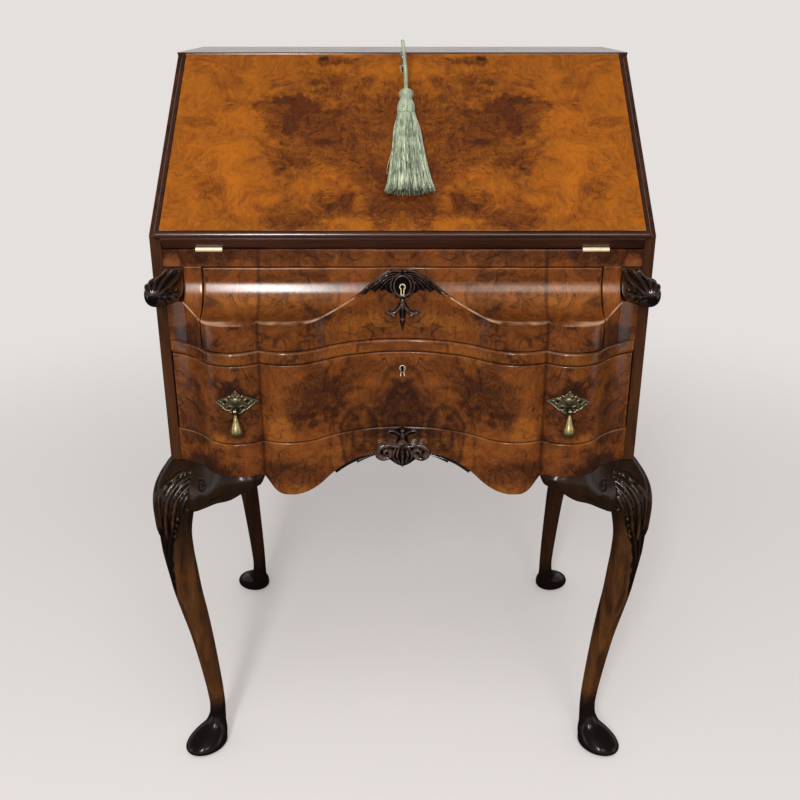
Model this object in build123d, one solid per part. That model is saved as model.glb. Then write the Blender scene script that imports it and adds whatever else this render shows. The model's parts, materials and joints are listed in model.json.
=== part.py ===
from build123d import *
import math
import os

os.makedirs("parts", exist_ok=True)

# A small walnut writing bureau on cabriole legs. Millimetres, X to the right, Y to the back, Z up.
# It is laid out from the plane of the case's front edges (y 0) and the floor (z 0), and moved at the
# end so that the origin lies under the middle of the whole.

# Case
case_half = 312.5
case_bottom = 479.5
side_thick = 14.0
top_thick = 14.0
back_thick = 8.0
back_play = 0.3
board_thick = 12.0
fall_slope = 38.4
stile_rise = 18.2
slope_height = 201.3
top_depth = 181.5
top_rounding = 2.0
apron_height = 47.0
lower_front_height = 104.5
mid_rail_thick = 16.0
upper_front_height = 93.0
hinge_rail_thick = 21.5
front_gap = 1.5
rail_depth = 40.0
rail_setback = 2.0
bed_joint = 60.0
slide_gap = 0.3
overrun = 5.0
turned_sides = 16

# Serpentine plan of the drawer fronts, the rail and the apron, in four arcs a side: a hollow one that
# turns into an outer lobe, a sharp groove, and a round shoulder that turns into a hollow middle.
# The arcs meet at shares of the half width and of the reach
lobe_reach = 54.5
lobe_start_angle = 19.9
lobe_join_share = (0.855, 0.607)
groove_share = (0.606, 0.752)
bow_join_share = (0.353, 0.629)
bow_setback = 3.3
rail_proud = 1.2
front_back = 27.0
apron_back = 20.0

# Hollow moulding across the upper drawer and the strips beside it
hollow_reach = 60.0
hollow_drop = 40.0
hollow_middle_shares = (0.27, 0.70)
hollow_flat = 17.5

# Lower edge of the apron, from the middle to the groove: shares of the half width and of the depth
# of its lobes below the apron's top
apron_lobe_depth = 74.5
apron_shares = (
    (0.0, 0.463), (0.12, 0.500), (0.232, 0.584), (0.303, 0.710), (0.370, 0.879),
    (0.431, 0.973), (0.495, 1.0), (0.539, 0.973), (0.566, 0.893), (0.586, 0.785), (0.603, 0.698),
)
groove_step = 4.0

# Fall and its hinges
fall_core = 16.0
fall_thick = 22.0
fall_gap = 1.0
lip_overlap = 9.0
lip_gap = 0.4
lip_start = 4.5
lip_rounding = 3.5
nosing_rounding = 4.5
fall_start = 2.0
hinge_inset = 58.5
hinge_length = 33.0
knuckle_radius = 2.75
knuckle_room = 0.35
knuckle_gap = 0.2
hinge_pin_radius = 1.2
running_fit = 0.05
hinge_leaf_width = 18.0
hinge_leaf_thick = 1.8
leather_margin = 42.5
leather_start = 45.0
leather_end_margin = 58.6
leather_thick = 0.9
leather_recess = 1.0

# Fall lock, its bolt and its key
lock_half = 30.0
lock_length = 45.0
lock_thick = 14.0
lock_plate = 2.0
lock_cavity_radius = 9.5
key_from_edge = 28.6
bolt_half = 13.0
bolt_thick = 6.0
bolt_low = 6.0
bolt_length = 16.0
bolt_gap = 0.2
bolt_setback = 0.5
strike_depth = 8.0
strike_rim = 5.0
strike_thick = 1.2
shank_radius = 2.3
bit_half = 1.0
bit_length = 8.5
bit_height = 8.0
key_reach = 32.0
bow_radius = 8.0
bow_width = 3.0
bow_thick = 3.0
collar_radius = 3.6
collar_length = 3.0
keyhole_radius = 2.9
keyhole_half = 1.3
keyhole_length = 13.0
thread_width = 1.0
thread_thick = 1.0

# Tassel: cord, head and skirt, in the fall's own directions (across, up the slope, out of its face),
# counted from the tip of the key's bow
cord_diameter = 5.0
cord_room = 0.3
corner_share = 0.45
tassel_rest = 0.4
cord_points = (
    (0.0, 0.0, 0.0), (0.9, -8.0, -1.1), (2.2, -16.5, -6.7), (3.4, -28.0, -15.9),
    (4.3, -39.5, -24.9), (4.7, -50.5, -31.1), (4.75, -61.0, -31.7),
)
# The head from its crown down: shares of the radius of its bulb and of its length
head_length = 44.0
head_radius = 11.0
head_shares = (
    (0.24, 0.0), (0.78, 0.06), (0.78, 0.18), (0.58, 0.27), (0.82, 0.42), (1.0, 0.62),
    (1.0, 0.86), (0.94, 1.0),
)
skirt_length = 128.0
skirt_lean = 4.9
skirt_half = 33.0
skirt_power = 2.2
# Sections of the skirt: shares of its length, its half width and the head's radius
skirt_shares = (
    (0.0, 0.333, 1.0), (0.2, 0.52, 1.06), (0.47, 0.68, 1.06), (0.74, 0.84, 1.02), (1.0, 1.0, 0.95),
)

# Lopers, their channels, pegs and carved heads
loper_width = 24.0
loper_height = 41.0
loper_end_room = 32.5
loper_travel = 230.0
loper_play = 0.5
loper_top_play = 1.0
strip_width = 22.5
strip_back = 30.0
partition_thick = 12.0
runner_thick = 13.5
peg_radius = 4.0
peg_depth = 120.0
peg_reach = 11.0
peg_play = 0.4
head_reach = 62.0
head_start_gap = 0.6
neck_width_share = 0.98
neck_height_share = 0.95
# Sections of a loper's carved head: share of the reach, outward shift, rise from the middle, half
# width and half height, each as a share of the loper's own width or height, then how square it is
loper_head_shares = (
    (0.0, 0.0, 0.0, 0.49, 0.475, 3.2), (0.18, 0.04, -0.01, 0.50, 0.46, 3.0),
    (0.42, 0.19, -0.02, 0.53, 0.43, 2.8), (0.66, 0.42, -0.02, 0.58, 0.40, 2.5),
    (0.86, 0.56, -0.01, 0.52, 0.36, 2.3), (0.97, 0.60, -0.01, 0.36, 0.24, 2.2),
    (1.0, 0.61, -0.01, 0.18, 0.12, 2.2),
)

# Drawers
drawer_wall = 10.0
drawer_floor = 6.0
drawer_floor_rise = 8.0
groove_depth = 4.0
groove_play = 0.3
drawer_end_room = 27.5
drawer_head_room = 12.0
drawer_side_play = 0.8
guide_height = 20.0
stop_length = 12.0
stop_height = 14.0
stop_half = 15.0
stop_share = 0.76
case_lock_half = 25.0
case_lock_height = 34.0
case_lock_thick = 10.0
lower_key_height = 82.5
upper_key_height = 70.5

# Drop handles
handle_share = 0.7054
handle_height = 57.0
plate_half = 28.0
plate_rise = 18.0
plate_thick = 1.8
pierce_radius = 2.4
post_radius = 4.2
post_reach = 8.0
cheek_thick = 1.4
cheek_radius = 3.4
drop_eye_radius = 3.1
drop_eye_half = 1.7
drop_pin_radius = 1.1
drop_below = 8.0
eye_play = 0.3
# The half outline of a plate: shares of its half width and its rise; two rows of holes pierce it
plate_shares = (
    (0.0, 1.0), (0.13, 0.66), (0.30, 0.72), (0.47, 0.52), (0.60, 0.24), (0.85, 0.22), (1.0, -0.05),
    (0.84, -0.28), (0.62, -0.36), (0.44, -0.70), (0.20, -0.80), (0.0, -1.0),
)
pierce_shares = ((0.5, 0.08), (0.3, -0.42))
# A pear drop from its eye down: shares of its radius and of its length
drop_length = 36.0
drop_radius = 7.3
drop_shares = (
    (0.20, 0.0), (0.22, 0.12), (0.36, 0.24), (0.62, 0.46), (0.95, 0.68), (1.0, 0.80), (0.80, 0.94),
    (0.25, 1.0),
)

# Carved pieces on the upper drawer and the apron
carving_relief = 9.0
carving_sink = 12.0
spray_half = 60.0
spray_height = 32.0
cartouche_half = 15.0
cartouche_height = 16.0
fleur_half = 20.0
fleur_drop = 36.0
fleur_ball = 4.5
tail_drop = 78.0
tail_half = 3.0
# The right half of the spray, the fleur's curl and the stem, in shares of the sizes above
spray_shares = (
    (0.0, 0.0), (0.22, 0.03), (0.47, 0.13), (0.62, 0.34), (0.80, 0.50), (1.0, 1.0),
    (0.82, 0.86), (0.62, 0.80), (0.42, 0.74), (0.24, 0.80), (0.0, 1.0),
)
curl_shares = ((0.0, 1.0), (1.0, 1.3), (1.0, -0.6), (0.0, -1.6))
stem_swell_share = 1.4
# The right half of the apron's shell: shares of its half width and of its drop
shell_half = 36.5
shell_drop = 58.0
shell_relief = 12.0
shell_shares = (
    (0.0, 0.0), (0.52, 0.07), (0.50, 0.16), (0.20, 0.20), (0.24, 0.36), (0.44, 0.38), (0.70, 0.36),
    (0.93, 0.46), (1.0, 0.61), (0.92, 0.74), (0.72, 0.81), (0.50, 0.82), (0.38, 0.88), (0.0, 1.0),
)
leaf_from_share = 0.11
leaf_to_share = 0.38
leaf_thick = 7.0
leaf_lap = 3.0
leaf_depth = 24.0

# Cabriole legs. A section is height, outward and forward shift of its middle, half length along the
# diagonal, half width across it, and how square it is (2 is an ellipse)
front_leg_inset = 28.0
front_leg_y = 10.0
back_leg_inset = 37.0
back_leg_setback = 22.5
leg_half = 24.5
foot_half = 33.0
# Heights as shares of the leg, shifts and halves as shares of the half width at its top
leg_shares = (
    (1.0, 0.16, -0.57, 1.0, 1.0, 5.0),
    (0.985, 0.37, -0.24, 1.08, 1.08, 4.2),
    (0.963, 0.65, 0.16, 1.155, 1.155, 3.3),
    (0.938, 0.88, 0.51, 1.19, 1.185, 2.8),
    (0.909, 1.0, 0.80, 1.19, 1.17, 2.5),
    (0.876, 1.06, 0.98, 1.14, 1.11, 2.3),
    (0.838, 1.12, 1.10, 1.03, 1.02, 2.2),
    (0.794, 1.15, 1.15, 0.93, 0.94, 2.1),
    (0.727, 1.08, 1.08, 0.85, 0.86, 2.1),
    (0.655, 0.95, 0.95, 0.81, 0.82, 2.1),
    (0.580, 0.81, 0.81, 0.77, 0.78, 2.1),
    (0.500, 0.60, 0.60, 0.71, 0.72, 2.1),
    (0.417, 0.39, 0.39, 0.64, 0.64, 2.0),
    (0.334, 0.22, 0.22, 0.58, 0.58, 2.0),
    (0.250, 0.07, 0.07, 0.525, 0.53, 2.0),
    (0.177, -0.04, -0.04, 0.485, 0.485, 2.0),
    (0.121, -0.08, -0.07, 0.47, 0.47, 2.0),
    (0.088, -0.03, 0.0, 0.52, 0.51, 2.0),
)
# Knees of the back legs keep flush with the back of the case: forward shifts that replace the above
back_knee_shares = (-0.26, -0.24, -0.30, -0.36, -0.38, -0.34, -0.24, -0.10, 0.10, 0.25, 0.38, 0.42)
# Foot: height, outward and forward shift, half length and half width, as shares of its half length
foot_height = 30.0
foot_shares = (
    (1.0, 0.09, 0.15, 0.53, 0.48), (0.66, 0.29, 0.40, 0.83, 0.69), (0.36, 0.42, 0.58, 0.97, 0.80),
    (0.14, 0.44, 0.61, 0.97, 0.80), (0.0, 0.44, 0.61, 0.80, 0.66),
)
section_points = 16
square_power = 2.15
foot_power = 2.0

# Brackets that carry the knees' curve on to the apron and the sides
bracket_thick = 24.0
bracket_inset = 2.5
# Sections of a front bracket, from the groove to the knee and on into the leg: share of the way, four
# forward reaches as shares of the lobes', down its face from the top, and the share of its drop
bracket_drop = 60.0
front_bracket_shares = (
    (0.0, 0.77, 0.80, 0.80, 0.77, 0.20), (0.10, 0.88, 0.93, 0.93, 0.90, 0.29),
    (0.26, 0.95, 1.0, 1.01, 0.97, 0.40), (0.44, 0.91, 0.98, 1.0, 0.96, 0.58),
    (0.67, 0.69, 0.82, 0.90, 0.88, 0.72), (0.84, 0.34, 0.58, 0.76, 0.78, 0.88),
    (1.0, 0.11, 0.40, 0.63, 0.70, 1.0), (1.18, 0.0, 0.20, 0.40, 0.50, 1.0),
)
bracket_level_shares = (0.0, 0.3, 0.6, 1.0)
side_bracket_length = 62.0
side_bracket_drop = 52.0
side_bracket_shares = ((0.0, 0.08), (0.2, 0.16), (0.45, 0.26), (0.7, 0.48), (0.88, 0.78), (1.0, 1.0))
side_bracket_thick = 22.0
block_depth = 46.0

# Fittings behind the fall
unit_gap = 13.5
unit_board = 6.0
unit_half_gap = 0.5
low_row = 51.0
shelf_room = 48.0
low_divider_share = 0.335
high_divider_shares = (0.201, 0.600)
small_wall = 5.0
small_floor = 4.0
small_play = 0.5
small_end_room = 13.5
knob_radius = 6.5
knob_reach = 13.0
# A knob from its stem out: shares of its radius and of its reach
knob_shares = ((0.43, 0.0), (0.43, 0.4), (0.80, 0.5), (1.0, 0.68), (0.92, 0.86), (0.60, 1.0))

# Heights up the front, worked out from the stack of rails and drawers
apron_top = case_bottom + apron_height
lower_front_low = apron_top + front_gap
lower_front_top = lower_front_low + lower_front_height
mid_rail_low = lower_front_top + front_gap
mid_rail_top = mid_rail_low + mid_rail_thick
upper_front_low = mid_rail_top + front_gap
upper_front_top = upper_front_low + upper_front_height
hinge_rail_low = upper_front_top + front_gap
bed_top = hinge_rail_low + hinge_rail_thick
slope_foot = bed_top + stile_rise
top_height = slope_foot + slope_height
hollow_lip = upper_front_top - hollow_flat

# Widths and depths
slope = math.radians(fall_slope)
inner_half = case_half - side_thick
front_half = inner_half - front_gap
case_depth = slope_height / math.tan(slope) + top_depth
inner_back = case_depth - back_thick
drawer_end = inner_back - drawer_end_room
loper_length = inner_back - loper_end_room
channel_inner = inner_half - loper_width - 2 * loper_play
strip_inner = channel_inner - strip_width
upper_half = strip_inner - front_gap
stop_middle = stop_share * upper_half
handle_x = handle_share * front_half
front_leg_x = case_half - front_leg_inset
back_leg_x = case_half - back_leg_inset
back_leg_y = case_depth - back_leg_setback
loper_top = hinge_rail_low - loper_top_play
loper_low = loper_top - loper_height

# The hinge line lies where the fall's inner face, closed, meets the level of the bed
hinge_z = bed_top
face_drop = slope_foot - fall_core * math.cos(slope) - bed_top
hinge_y = fall_core * math.sin(slope) - face_drop / math.tan(slope)
fall_length = (top_height - hinge_z - fall_thick * math.cos(slope)) / math.sin(slope)
fall_half = inner_half - fall_gap
leather_half = fall_half - leather_margin
hinge_x = inner_half - hinge_inset
key_along = fall_length - key_from_edge
cord_start = fall_thick + key_reach + bow_radius + bow_width / 2 + cord_room + cord_diameter / 2
cord_route = [(x, key_along + up, cord_start + out) for x, up, out in cord_points]

# The fitting behind the fall stands clear of its inner face
unit_height = top_height - top_thick - bed_top - shelf_room
unit_front = hinge_y + unit_height / math.tan(slope) + unit_gap
low_divider = low_divider_share * inner_half
high_dividers = [share * inner_half for share in high_divider_shares]

solids = {}
cord_names = ("tassel_cord", "tassel_head", "tassel_skirt")


def block(x0, x1, y0, y1, z0, z1):
    middle = Pos((x0 + x1) / 2, (y0 + y1) / 2, (z0 + z1) / 2)
    return middle * Box(x1 - x0, y1 - y0, z1 - z0)


def across(face, x0, x1):
    """A profile drawn as (y, z) points, carried across from x0 to x1."""
    return extrude(Plane.YZ.offset(x0) * face, amount=x1 - x0)


def through(face, y0, y1):
    """An outline drawn as (x, z) points, carried from y0 back to y1."""
    return extrude(Plane.XZ.offset(-y1) * face, amount=y1 - y0)


def upright(face, z0, z1):
    """A plan drawn as (x, y) points, carried up from z0 to z1."""
    return extrude(Plane.XY.offset(z0) * face, amount=z1 - z0)


def polygon(points):
    return make_face(Polyline(*points, close=True))


def mirrored(shape):
    return mirror(shape, about=Plane.YZ)


def both(shape):
    return Compound(children=[shape, mirrored(shape)])


def group(shapes):
    return Compound(children=list(shapes))


def on_fall(shape):
    """Takes a piece from the fall's flat frame (x across, y up the slope, z out) to the closed fall."""
    return Location((0, hinge_y, hinge_z), (fall_slope, 0, 0)) * shape


def slope_point(along, out):
    y = hinge_y + along * math.cos(slope) - out * math.sin(slope)
    z = hinge_z + along * math.sin(slope) + out * math.cos(slope)
    return (y, z)


def turned(profile_shares, radius, length):
    """A small turning in flats, upwards along Z, from shares of its radius and of its length."""
    rings = []
    for wide, along in profile_shares:
        rings.append(Pos(0, 0, along * length) * RegularPolygon(wide * radius, turned_sides))
    return loft(rings, ruled=True)


def serpentine(proud, back):
    """The plan of the front: lobes, grooves and bow, closed along a straight back."""
    joins = []
    for x, reach in (lobe_join_share, groove_share, bow_join_share):
        joins.append((x * front_half, -reach * lobe_reach - proud))
    lobe_join, groove, bow_join = joins
    angle = math.radians(lobe_start_angle)
    heading = (-math.cos(angle), -math.sin(angle))
    lobe_hollow = TangentArc((front_half, -proud), lobe_join, tangent=heading)
    lobe_round = TangentArc(lobe_join, groove, tangent=lobe_hollow % 1)
    bow_hollow = TangentArc((0, bow_setback - proud), bow_join, tangent=(1, 0))
    bow_round = TangentArc(bow_join, groove, tangent=bow_hollow % 1)
    wing = (inner_half, -proud)
    corner = (inner_half, back)
    end = [Line(corner, wing), Line(wing, lobe_hollow @ 0)]
    half = end + [lobe_hollow, lobe_round, bow_hollow, bow_round]
    other = [mirrored(edge) for edge in half]
    shut = Line(corner, (-inner_half, back))
    return make_face(half + other + [shut])


def serpentine_front(half, z0, z1, proud, back):
    body = upright(serpentine(proud, back), z0, z1)
    reach = -lobe_reach - proud - overrun
    return body & block(-half, half, reach, back, z0, z1)


def hollow(x0, x1, z0, z1, back):
    """The space behind the hollow moulding: upright above, an arc, then far forward."""
    foot = hollow_lip - hollow_drop
    front = -lobe_reach - hollow_reach
    out, down = hollow_middle_shares
    lip = (0, hollow_lip)
    middle = (-out * hollow_reach, hollow_lip - down * hollow_drop)
    edges = [
        Line((back, z0), (front, z0)), Line((front, z0), (front, foot)),
        Line((front, foot), (-hollow_reach, foot)), ThreePointArc((-hollow_reach, foot), middle, lip),
        Line(lip, (0, z1)), Line((0, z1), (back, z1)), Line((back, z1), (back, z0)),
    ]
    return across(make_face(edges), x0, x1)


def keyhole(grow):
    """A round eye with a slot below it, drawn about the key's own axis."""
    slot = keyhole_length - keyhole_radius
    half = keyhole_half + grow
    return Circle(keyhole_radius + grow) + Pos(0, -slot / 2) * Rectangle(2 * half, slot + 2 * grow)


def thread():
    """Brass thread let in around a keyhole."""
    return keyhole(thread_width) - keyhole(0)


def case_shell():
    edge = fall_length + fall_gap
    core_y, core_z = slope_point(edge, fall_core)
    drop = (core_z - top_height + top_thick) / math.cos(slope)
    low_y, low_z = slope_point(edge, fall_core - drop)
    high_y, high_z = slope_point(edge, (top_height - hinge_z - edge * math.sin(slope)) / math.cos(slope))
    side = polygon([
        (0, case_bottom), (0, slope_foot), (core_y, core_z), (low_y, low_z),
        (case_depth, low_z), (case_depth, case_bottom),
    ])
    right = across(side, inner_half, case_half)
    solids["side_panel_right"] = right
    solids["side_panel_left"] = mirrored(right)

    top = polygon([(low_y, low_z), (high_y, high_z), (case_depth, high_z), (case_depth, low_z)])
    slab = across(top, -case_half, case_half)
    slab = fillet(slab.edges().filter_by(Axis.Z).sort_by(Axis.Y)[-2:], top_rounding)
    pocket_half = bolt_half + bolt_gap
    pocket = block(
        -pocket_half, pocket_half, edge - overrun, edge + strike_depth,
        bolt_low - bolt_gap, bolt_low + bolt_thick + bolt_gap,
    )
    plate_half_width = pocket_half + strike_rim
    plate = block(
        -plate_half_width, plate_half_width, edge, edge + strike_thick,
        bolt_low - 2 * bolt_gap, bolt_low + bolt_thick + 2 * bolt_gap,
    )
    solids["top_board"] = slab - on_fall(pocket) - on_fall(plate)
    solids["lock_strike"] = on_fall(plate - pocket)

    solids["back_panel"] = block(-inner_half, inner_half, inner_back, case_depth, case_bottom, low_z)
    solids["bottom_board"] = block(
        -inner_half, inner_half, apron_back, inner_back, apron_top - board_thick, apron_top
    )
    solids["dust_board"] = block(
        -inner_half, inner_half, rail_depth, inner_back, mid_rail_top - board_thick, mid_rail_top
    )
    solids["mid_rail"] = serpentine_front(inner_half, mid_rail_low, mid_rail_top, rail_proud, rail_depth)
    bed_low = bed_top - board_thick
    solids["writing_bed"] = block(-inner_half, inner_half, bed_joint, inner_back, bed_low, bed_top)


def hinge_parts():
    rail = block(-inner_half, inner_half, rail_setback, bed_joint, hinge_rail_low, bed_top)
    third = (hinge_length - 2 * knuckle_gap) / 3
    half = hinge_length / 2
    room = Cylinder(knuckle_radius + knuckle_room, hinge_length + 2 * knuckle_gap, rotation=(0, 90, 0))
    stand_off = knuckle_radius + knuckle_room + knuckle_gap

    def leaf(ends):
        plate = block(-half, half, stand_off, hinge_leaf_width, -hinge_leaf_thick, 0)
        knuckles = []
        for place in ends:
            at = place * (third + knuckle_gap)
            tongue = block(at - third / 2, at + third / 2, 0, stand_off, -hinge_leaf_thick, 0)
            knuckles.append(tongue)
            knuckles.append(Pos(at, 0, 0) * Cylinder(knuckle_radius, third, rotation=(0, 90, 0)))
        body = plate
        for piece in knuckles:
            body = body + piece
        return body

    seat = block(-half, half, 0, hinge_leaf_width, -hinge_leaf_thick, 0)
    pin = Cylinder(hinge_pin_radius, hinge_length, rotation=(0, 90, 0))
    bore = Cylinder(hinge_pin_radius + running_fit, hinge_length + overrun, rotation=(0, 90, 0))
    case_leaf = leaf((-1, 1)) - bore
    fall_leaf = mirror(leaf((0,)), about=Plane.XY) - pin

    case_leaves = []
    fall_leaves = []
    pins = []
    fall_cuts = []
    for side in (-1, 1):
        case_place = Pos(side * hinge_x, hinge_y, hinge_z)
        fall_place = Pos(side * hinge_x, 0, 0)
        rail = rail - case_place * room - case_place * seat
        case_leaves.append(case_place * case_leaf)
        fall_leaves.append(on_fall(fall_place * fall_leaf))
        pins.append(case_place * pin)
        fall_cuts.append(fall_place * room)
        fall_cuts.append(fall_place * mirror(seat, about=Plane.XY))
    solids["hinge_rail"] = rail
    solids["hinge_case_leaves"] = group(case_leaves)
    solids["hinge_fall_leaves"] = group(fall_leaves)
    solids["hinge_pins"] = group(pins)
    return fall_cuts


def fall_parts(hinge_cuts):
    lip_half = fall_half + lip_overlap
    core = block(-fall_half, fall_half, fall_start, fall_length, 0, fall_core + lip_gap)
    lip = block(-lip_half, lip_half, lip_start, fall_length, fall_core + lip_gap, fall_thick)
    rim = lip.faces().sort_by(Axis.Z)[-1].edges().sort_by(Axis.Y)
    lip = fillet(rim[0], nosing_rounding)
    rim = lip.faces().sort_by(Axis.Z)[-1].edges()
    lip = fillet(rim.filter_by(Axis.Y), lip_rounding)
    board = core + lip
    for cut in hinge_cuts:
        board = board - cut

    leather_end = fall_length - leather_end_margin
    board = board - block(-leather_half, leather_half, leather_start, leather_end, 0, leather_recess)
    leather_low = leather_recess - leather_thick
    leather = block(-leather_half, leather_half, leather_start, leather_end, leather_low, leather_recess)

    case_low = fall_length - lock_length
    lock_space = block(-lock_half, lock_half, case_low, fall_length, 0, lock_thick)
    slot_half = bolt_half + bolt_gap
    bolt_seat = fall_length - bolt_setback - bolt_length
    slot = block(
        -slot_half, slot_half, bolt_seat - bolt_gap, fall_length,
        bolt_low - bolt_gap, bolt_low + bolt_thick + bolt_gap,
    )
    key_axis = Pos(0, key_along, 0)
    cavity_height = lock_thick - lock_plate
    cavity = Cylinder(lock_cavity_radius, cavity_height)
    cavity = key_axis * Pos(0, 0, lock_plate + cavity_height / 2) * cavity
    board = board - lock_space
    hole = Plane.XY.offset(lock_thick) * key_axis * keyhole(0)
    board = board - extrude(hole, amount=fall_thick - lock_thick)
    thread_low = fall_thick - thread_thick
    rim_cut = extrude(Plane.XY.offset(thread_low) * key_axis * keyhole(thread_width), amount=thread_thick)
    board = board - rim_cut

    solids["fall_board"] = on_fall(board)
    solids["writing_leather"] = on_fall(leather)
    solids["fall_lock_case"] = on_fall(lock_space - slot - cavity)
    solids["fall_escutcheon"] = on_fall(
        extrude(Plane.XY.offset(thread_low) * key_axis * thread(), amount=thread_thick)
    )
    solids["fall_bolt"] = on_fall(block(
        -bolt_half, bolt_half, bolt_seat, fall_length - bolt_setback, bolt_low, bolt_low + bolt_thick
    ))


def key_part():
    """A key standing out of the fall, its bit and its bow in one upright plane."""
    bow_out = fall_thick + key_reach
    shank_low = lock_plate + running_fit
    shank_top = bow_out - bow_radius
    shank = Pos(0, 0, (shank_low + shank_top) / 2) * Cylinder(shank_radius, shank_top - shank_low)
    bit_low = lock_plate + bit_half
    bit = block(-bit_half, bit_half, -bit_length, 0, bit_low, bit_low + bit_height)
    collar = Pos(0, 0, shank_top - collar_length) * Cylinder(collar_radius, collar_length)
    ring = Circle(bow_radius + bow_width / 2) - Circle(bow_radius - bow_width / 2)
    bow = Pos(-bow_thick / 2, 0, bow_out) * extrude(Plane.YZ * ring, amount=bow_thick)
    solids["key"] = on_fall(Pos(0, key_along, 0) * (shank + bit + collar + bow))


def route_radii(points):
    """Each corner's arc takes the same share of the shorter run beside it."""
    fitted = []
    corners = [Vector(*p) for p in points]
    for before, at, after in zip(corners, corners[1:], corners[2:]):
        come = at - before
        go = after - at
        turn = math.radians(come.get_angle(go))
        fitted.append(corner_share * min(come.length, go.length) / math.tan(turn / 2))
    return fitted


def tassel_parts():
    radii = route_radii(cord_route)
    print("cord radii", [round(r, 1) for r in radii])
    line = FilletPolyline(*cord_route, radius=radii)
    section = Plane(line @ 0, z_dir=line % 0) * Circle(cord_diameter / 2)
    tube = sweep(section, path=line)
    expected = math.pi * (cord_diameter / 2) ** 2 * line.length
    print("cord length", round(line.length, 1), "volume", round(tube.volume), "of", round(expected))
    solids["tassel_cord"] = on_fall(tube)

    end_x, end_s, end_h = cord_route[-1]
    head_start = end_s - cord_room
    hanging = Plane(origin=(end_x, head_start, end_h), x_dir=(1, 0, 0), z_dir=(0, -1, 0))
    solids["tassel_head"] = on_fall(hanging * turned(head_shares, head_radius, head_length))

    sections = []
    for along_share, width_share, thick_share in skirt_shares:
        thick = head_radius * thick_share
        along = head_start - head_length - cord_room - skirt_length * along_share
        middle = (end_x + skirt_lean * along_share, along, fall_thick + tassel_rest + thick)
        plane = Plane(origin=middle, x_dir=(1, 0, 0), z_dir=(0, -1, 0))
        sections.append(plane * polygon(superellipse(skirt_half * width_share, thick, skirt_power)))
    solids["tassel_skirt"] = on_fall(loft(sections, ruled=True))


def loper_parts():
    middle_x = channel_inner + loper_play + loper_width / 2
    middle_z = (loper_top + loper_low) / 2
    bar = block(
        middle_x - loper_width / 2, middle_x + loper_width / 2, 0, loper_length, loper_low, loper_top
    )
    groove_half = peg_radius + peg_play
    groove_inner = channel_inner + loper_play
    groove = block(
        groove_inner, groove_inner + peg_reach + peg_play - loper_play, peg_depth - groove_half,
        peg_depth + loper_travel + groove_half, middle_z - groove_half, middle_z + groove_half,
    )
    sections = []
    for reach, shift, rise, half, tall, power in loper_head_shares:
        along = -head_start_gap - reach * head_reach
        middle = (middle_x + shift * loper_width, along, middle_z + rise * loper_height)
        plane = Plane(origin=middle, x_dir=(1, 0, 0), z_dir=(0, -1, 0))
        sections.append(plane * polygon(superellipse(half * loper_width, tall * loper_height, power)))
    head = loft(sections, ruled=True)
    neck_half = loper_width * neck_width_share / 2
    neck_tall = loper_height * neck_height_share / 2
    neck = block(-neck_half, neck_half, -head_start_gap, 0, -neck_tall, neck_tall)
    neck = Pos(middle_x, 0, middle_z) * neck
    right = bar - groove + neck + head
    solids["loper_right"] = right
    solids["loper_left"] = mirrored(right)

    low = mid_rail_top
    board_end = inner_back - back_play
    partition_inner = channel_inner - partition_thick
    partition = block(partition_inner, channel_inner, strip_back, board_end, low, hinge_rail_low)
    hole_length = partition_thick + overrun
    peg_length = partition_thick + peg_reach
    hole = Cylinder(peg_radius + running_fit, hole_length, rotation=(0, 90, 0))
    hole = Pos(channel_inner - partition_thick / 2, peg_depth, middle_z) * hole
    peg = Cylinder(peg_radius, peg_length, rotation=(0, 90, 0))
    peg = Pos(channel_inner - partition_thick + peg_length / 2, peg_depth, middle_z) * peg
    solids["loper_partitions"] = both(partition - hole)
    solids["loper_pegs"] = both(peg)
    runner_top = loper_low - slide_gap
    solids["loper_runners"] = both(block(
        channel_inner, inner_half, strip_back, board_end, runner_top - runner_thick, runner_top
    ))
    guide_inner = upper_half + drawer_side_play
    solids["drawer_guides"] = both(block(
        guide_inner, channel_inner - partition_thick, strip_back + rail_depth, board_end,
        low, low + guide_height,
    ))
    strip = serpentine_front(inner_half, low, hinge_rail_low, 0, strip_back)
    strip = strip & hollow(strip_inner, inner_half, low, hinge_rail_low, strip_back)
    channel = block(channel_inner, case_half, -lobe_reach, strip_back, runner_top, hinge_rail_low)
    solids["frieze_strip_right"] = strip - channel
    solids["frieze_strip_left"] = mirrored(strip - channel)


def drawer_box(name, half, low, top, front):
    """Sides and back grooved for a thin floor, behind a front that is given."""
    inner = half - drawer_wall
    floor_low = low + drawer_floor_rise
    tongue = inner + groove_depth - groove_play
    floor = block(-tongue, tongue, front_back, drawer_end, floor_low, floor_low + drawer_floor)
    slot = block(
        -inner - groove_depth, inner + groove_depth, front_back - overrun, drawer_end + overrun,
        floor_low - groove_play, floor_low + drawer_floor + groove_play,
    )
    side = block(inner, half, front_back, drawer_end, low, top) - slot
    back = block(-inner, inner, drawer_end - drawer_wall, drawer_end, floor_low + drawer_floor, top)
    solids[name + "_front"] = front
    solids[name + "_sides"] = both(side)
    solids[name + "_back"] = back
    solids[name + "_bottom"] = floor


def drawer_lock(front, key_z, plan_y):
    """A lock let into the back of a front, with a keyhole through to the face."""
    case = block(
        -case_lock_half, case_lock_half, front_back - case_lock_thick, front_back,
        key_z - case_lock_height / 2, key_z + case_lock_height / 2,
    )
    hole = Plane.XZ.offset(-front_back) * Pos(0, key_z) * keyhole(0)
    bore = extrude(hole, amount=front_back - plan_y + overrun)
    return front - case - bore, case - bore


def stile_stops():
    stops = []
    for low in (apron_top, mid_rail_top):
        stops.append(both(block(
            stop_middle - stop_half, stop_middle + stop_half, drawer_end + 2 * slide_gap,
            drawer_end + 2 * slide_gap + stop_length, low, low + stop_height,
        )))
    return group([solid for pair in stops for solid in pair.solids()])


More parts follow.
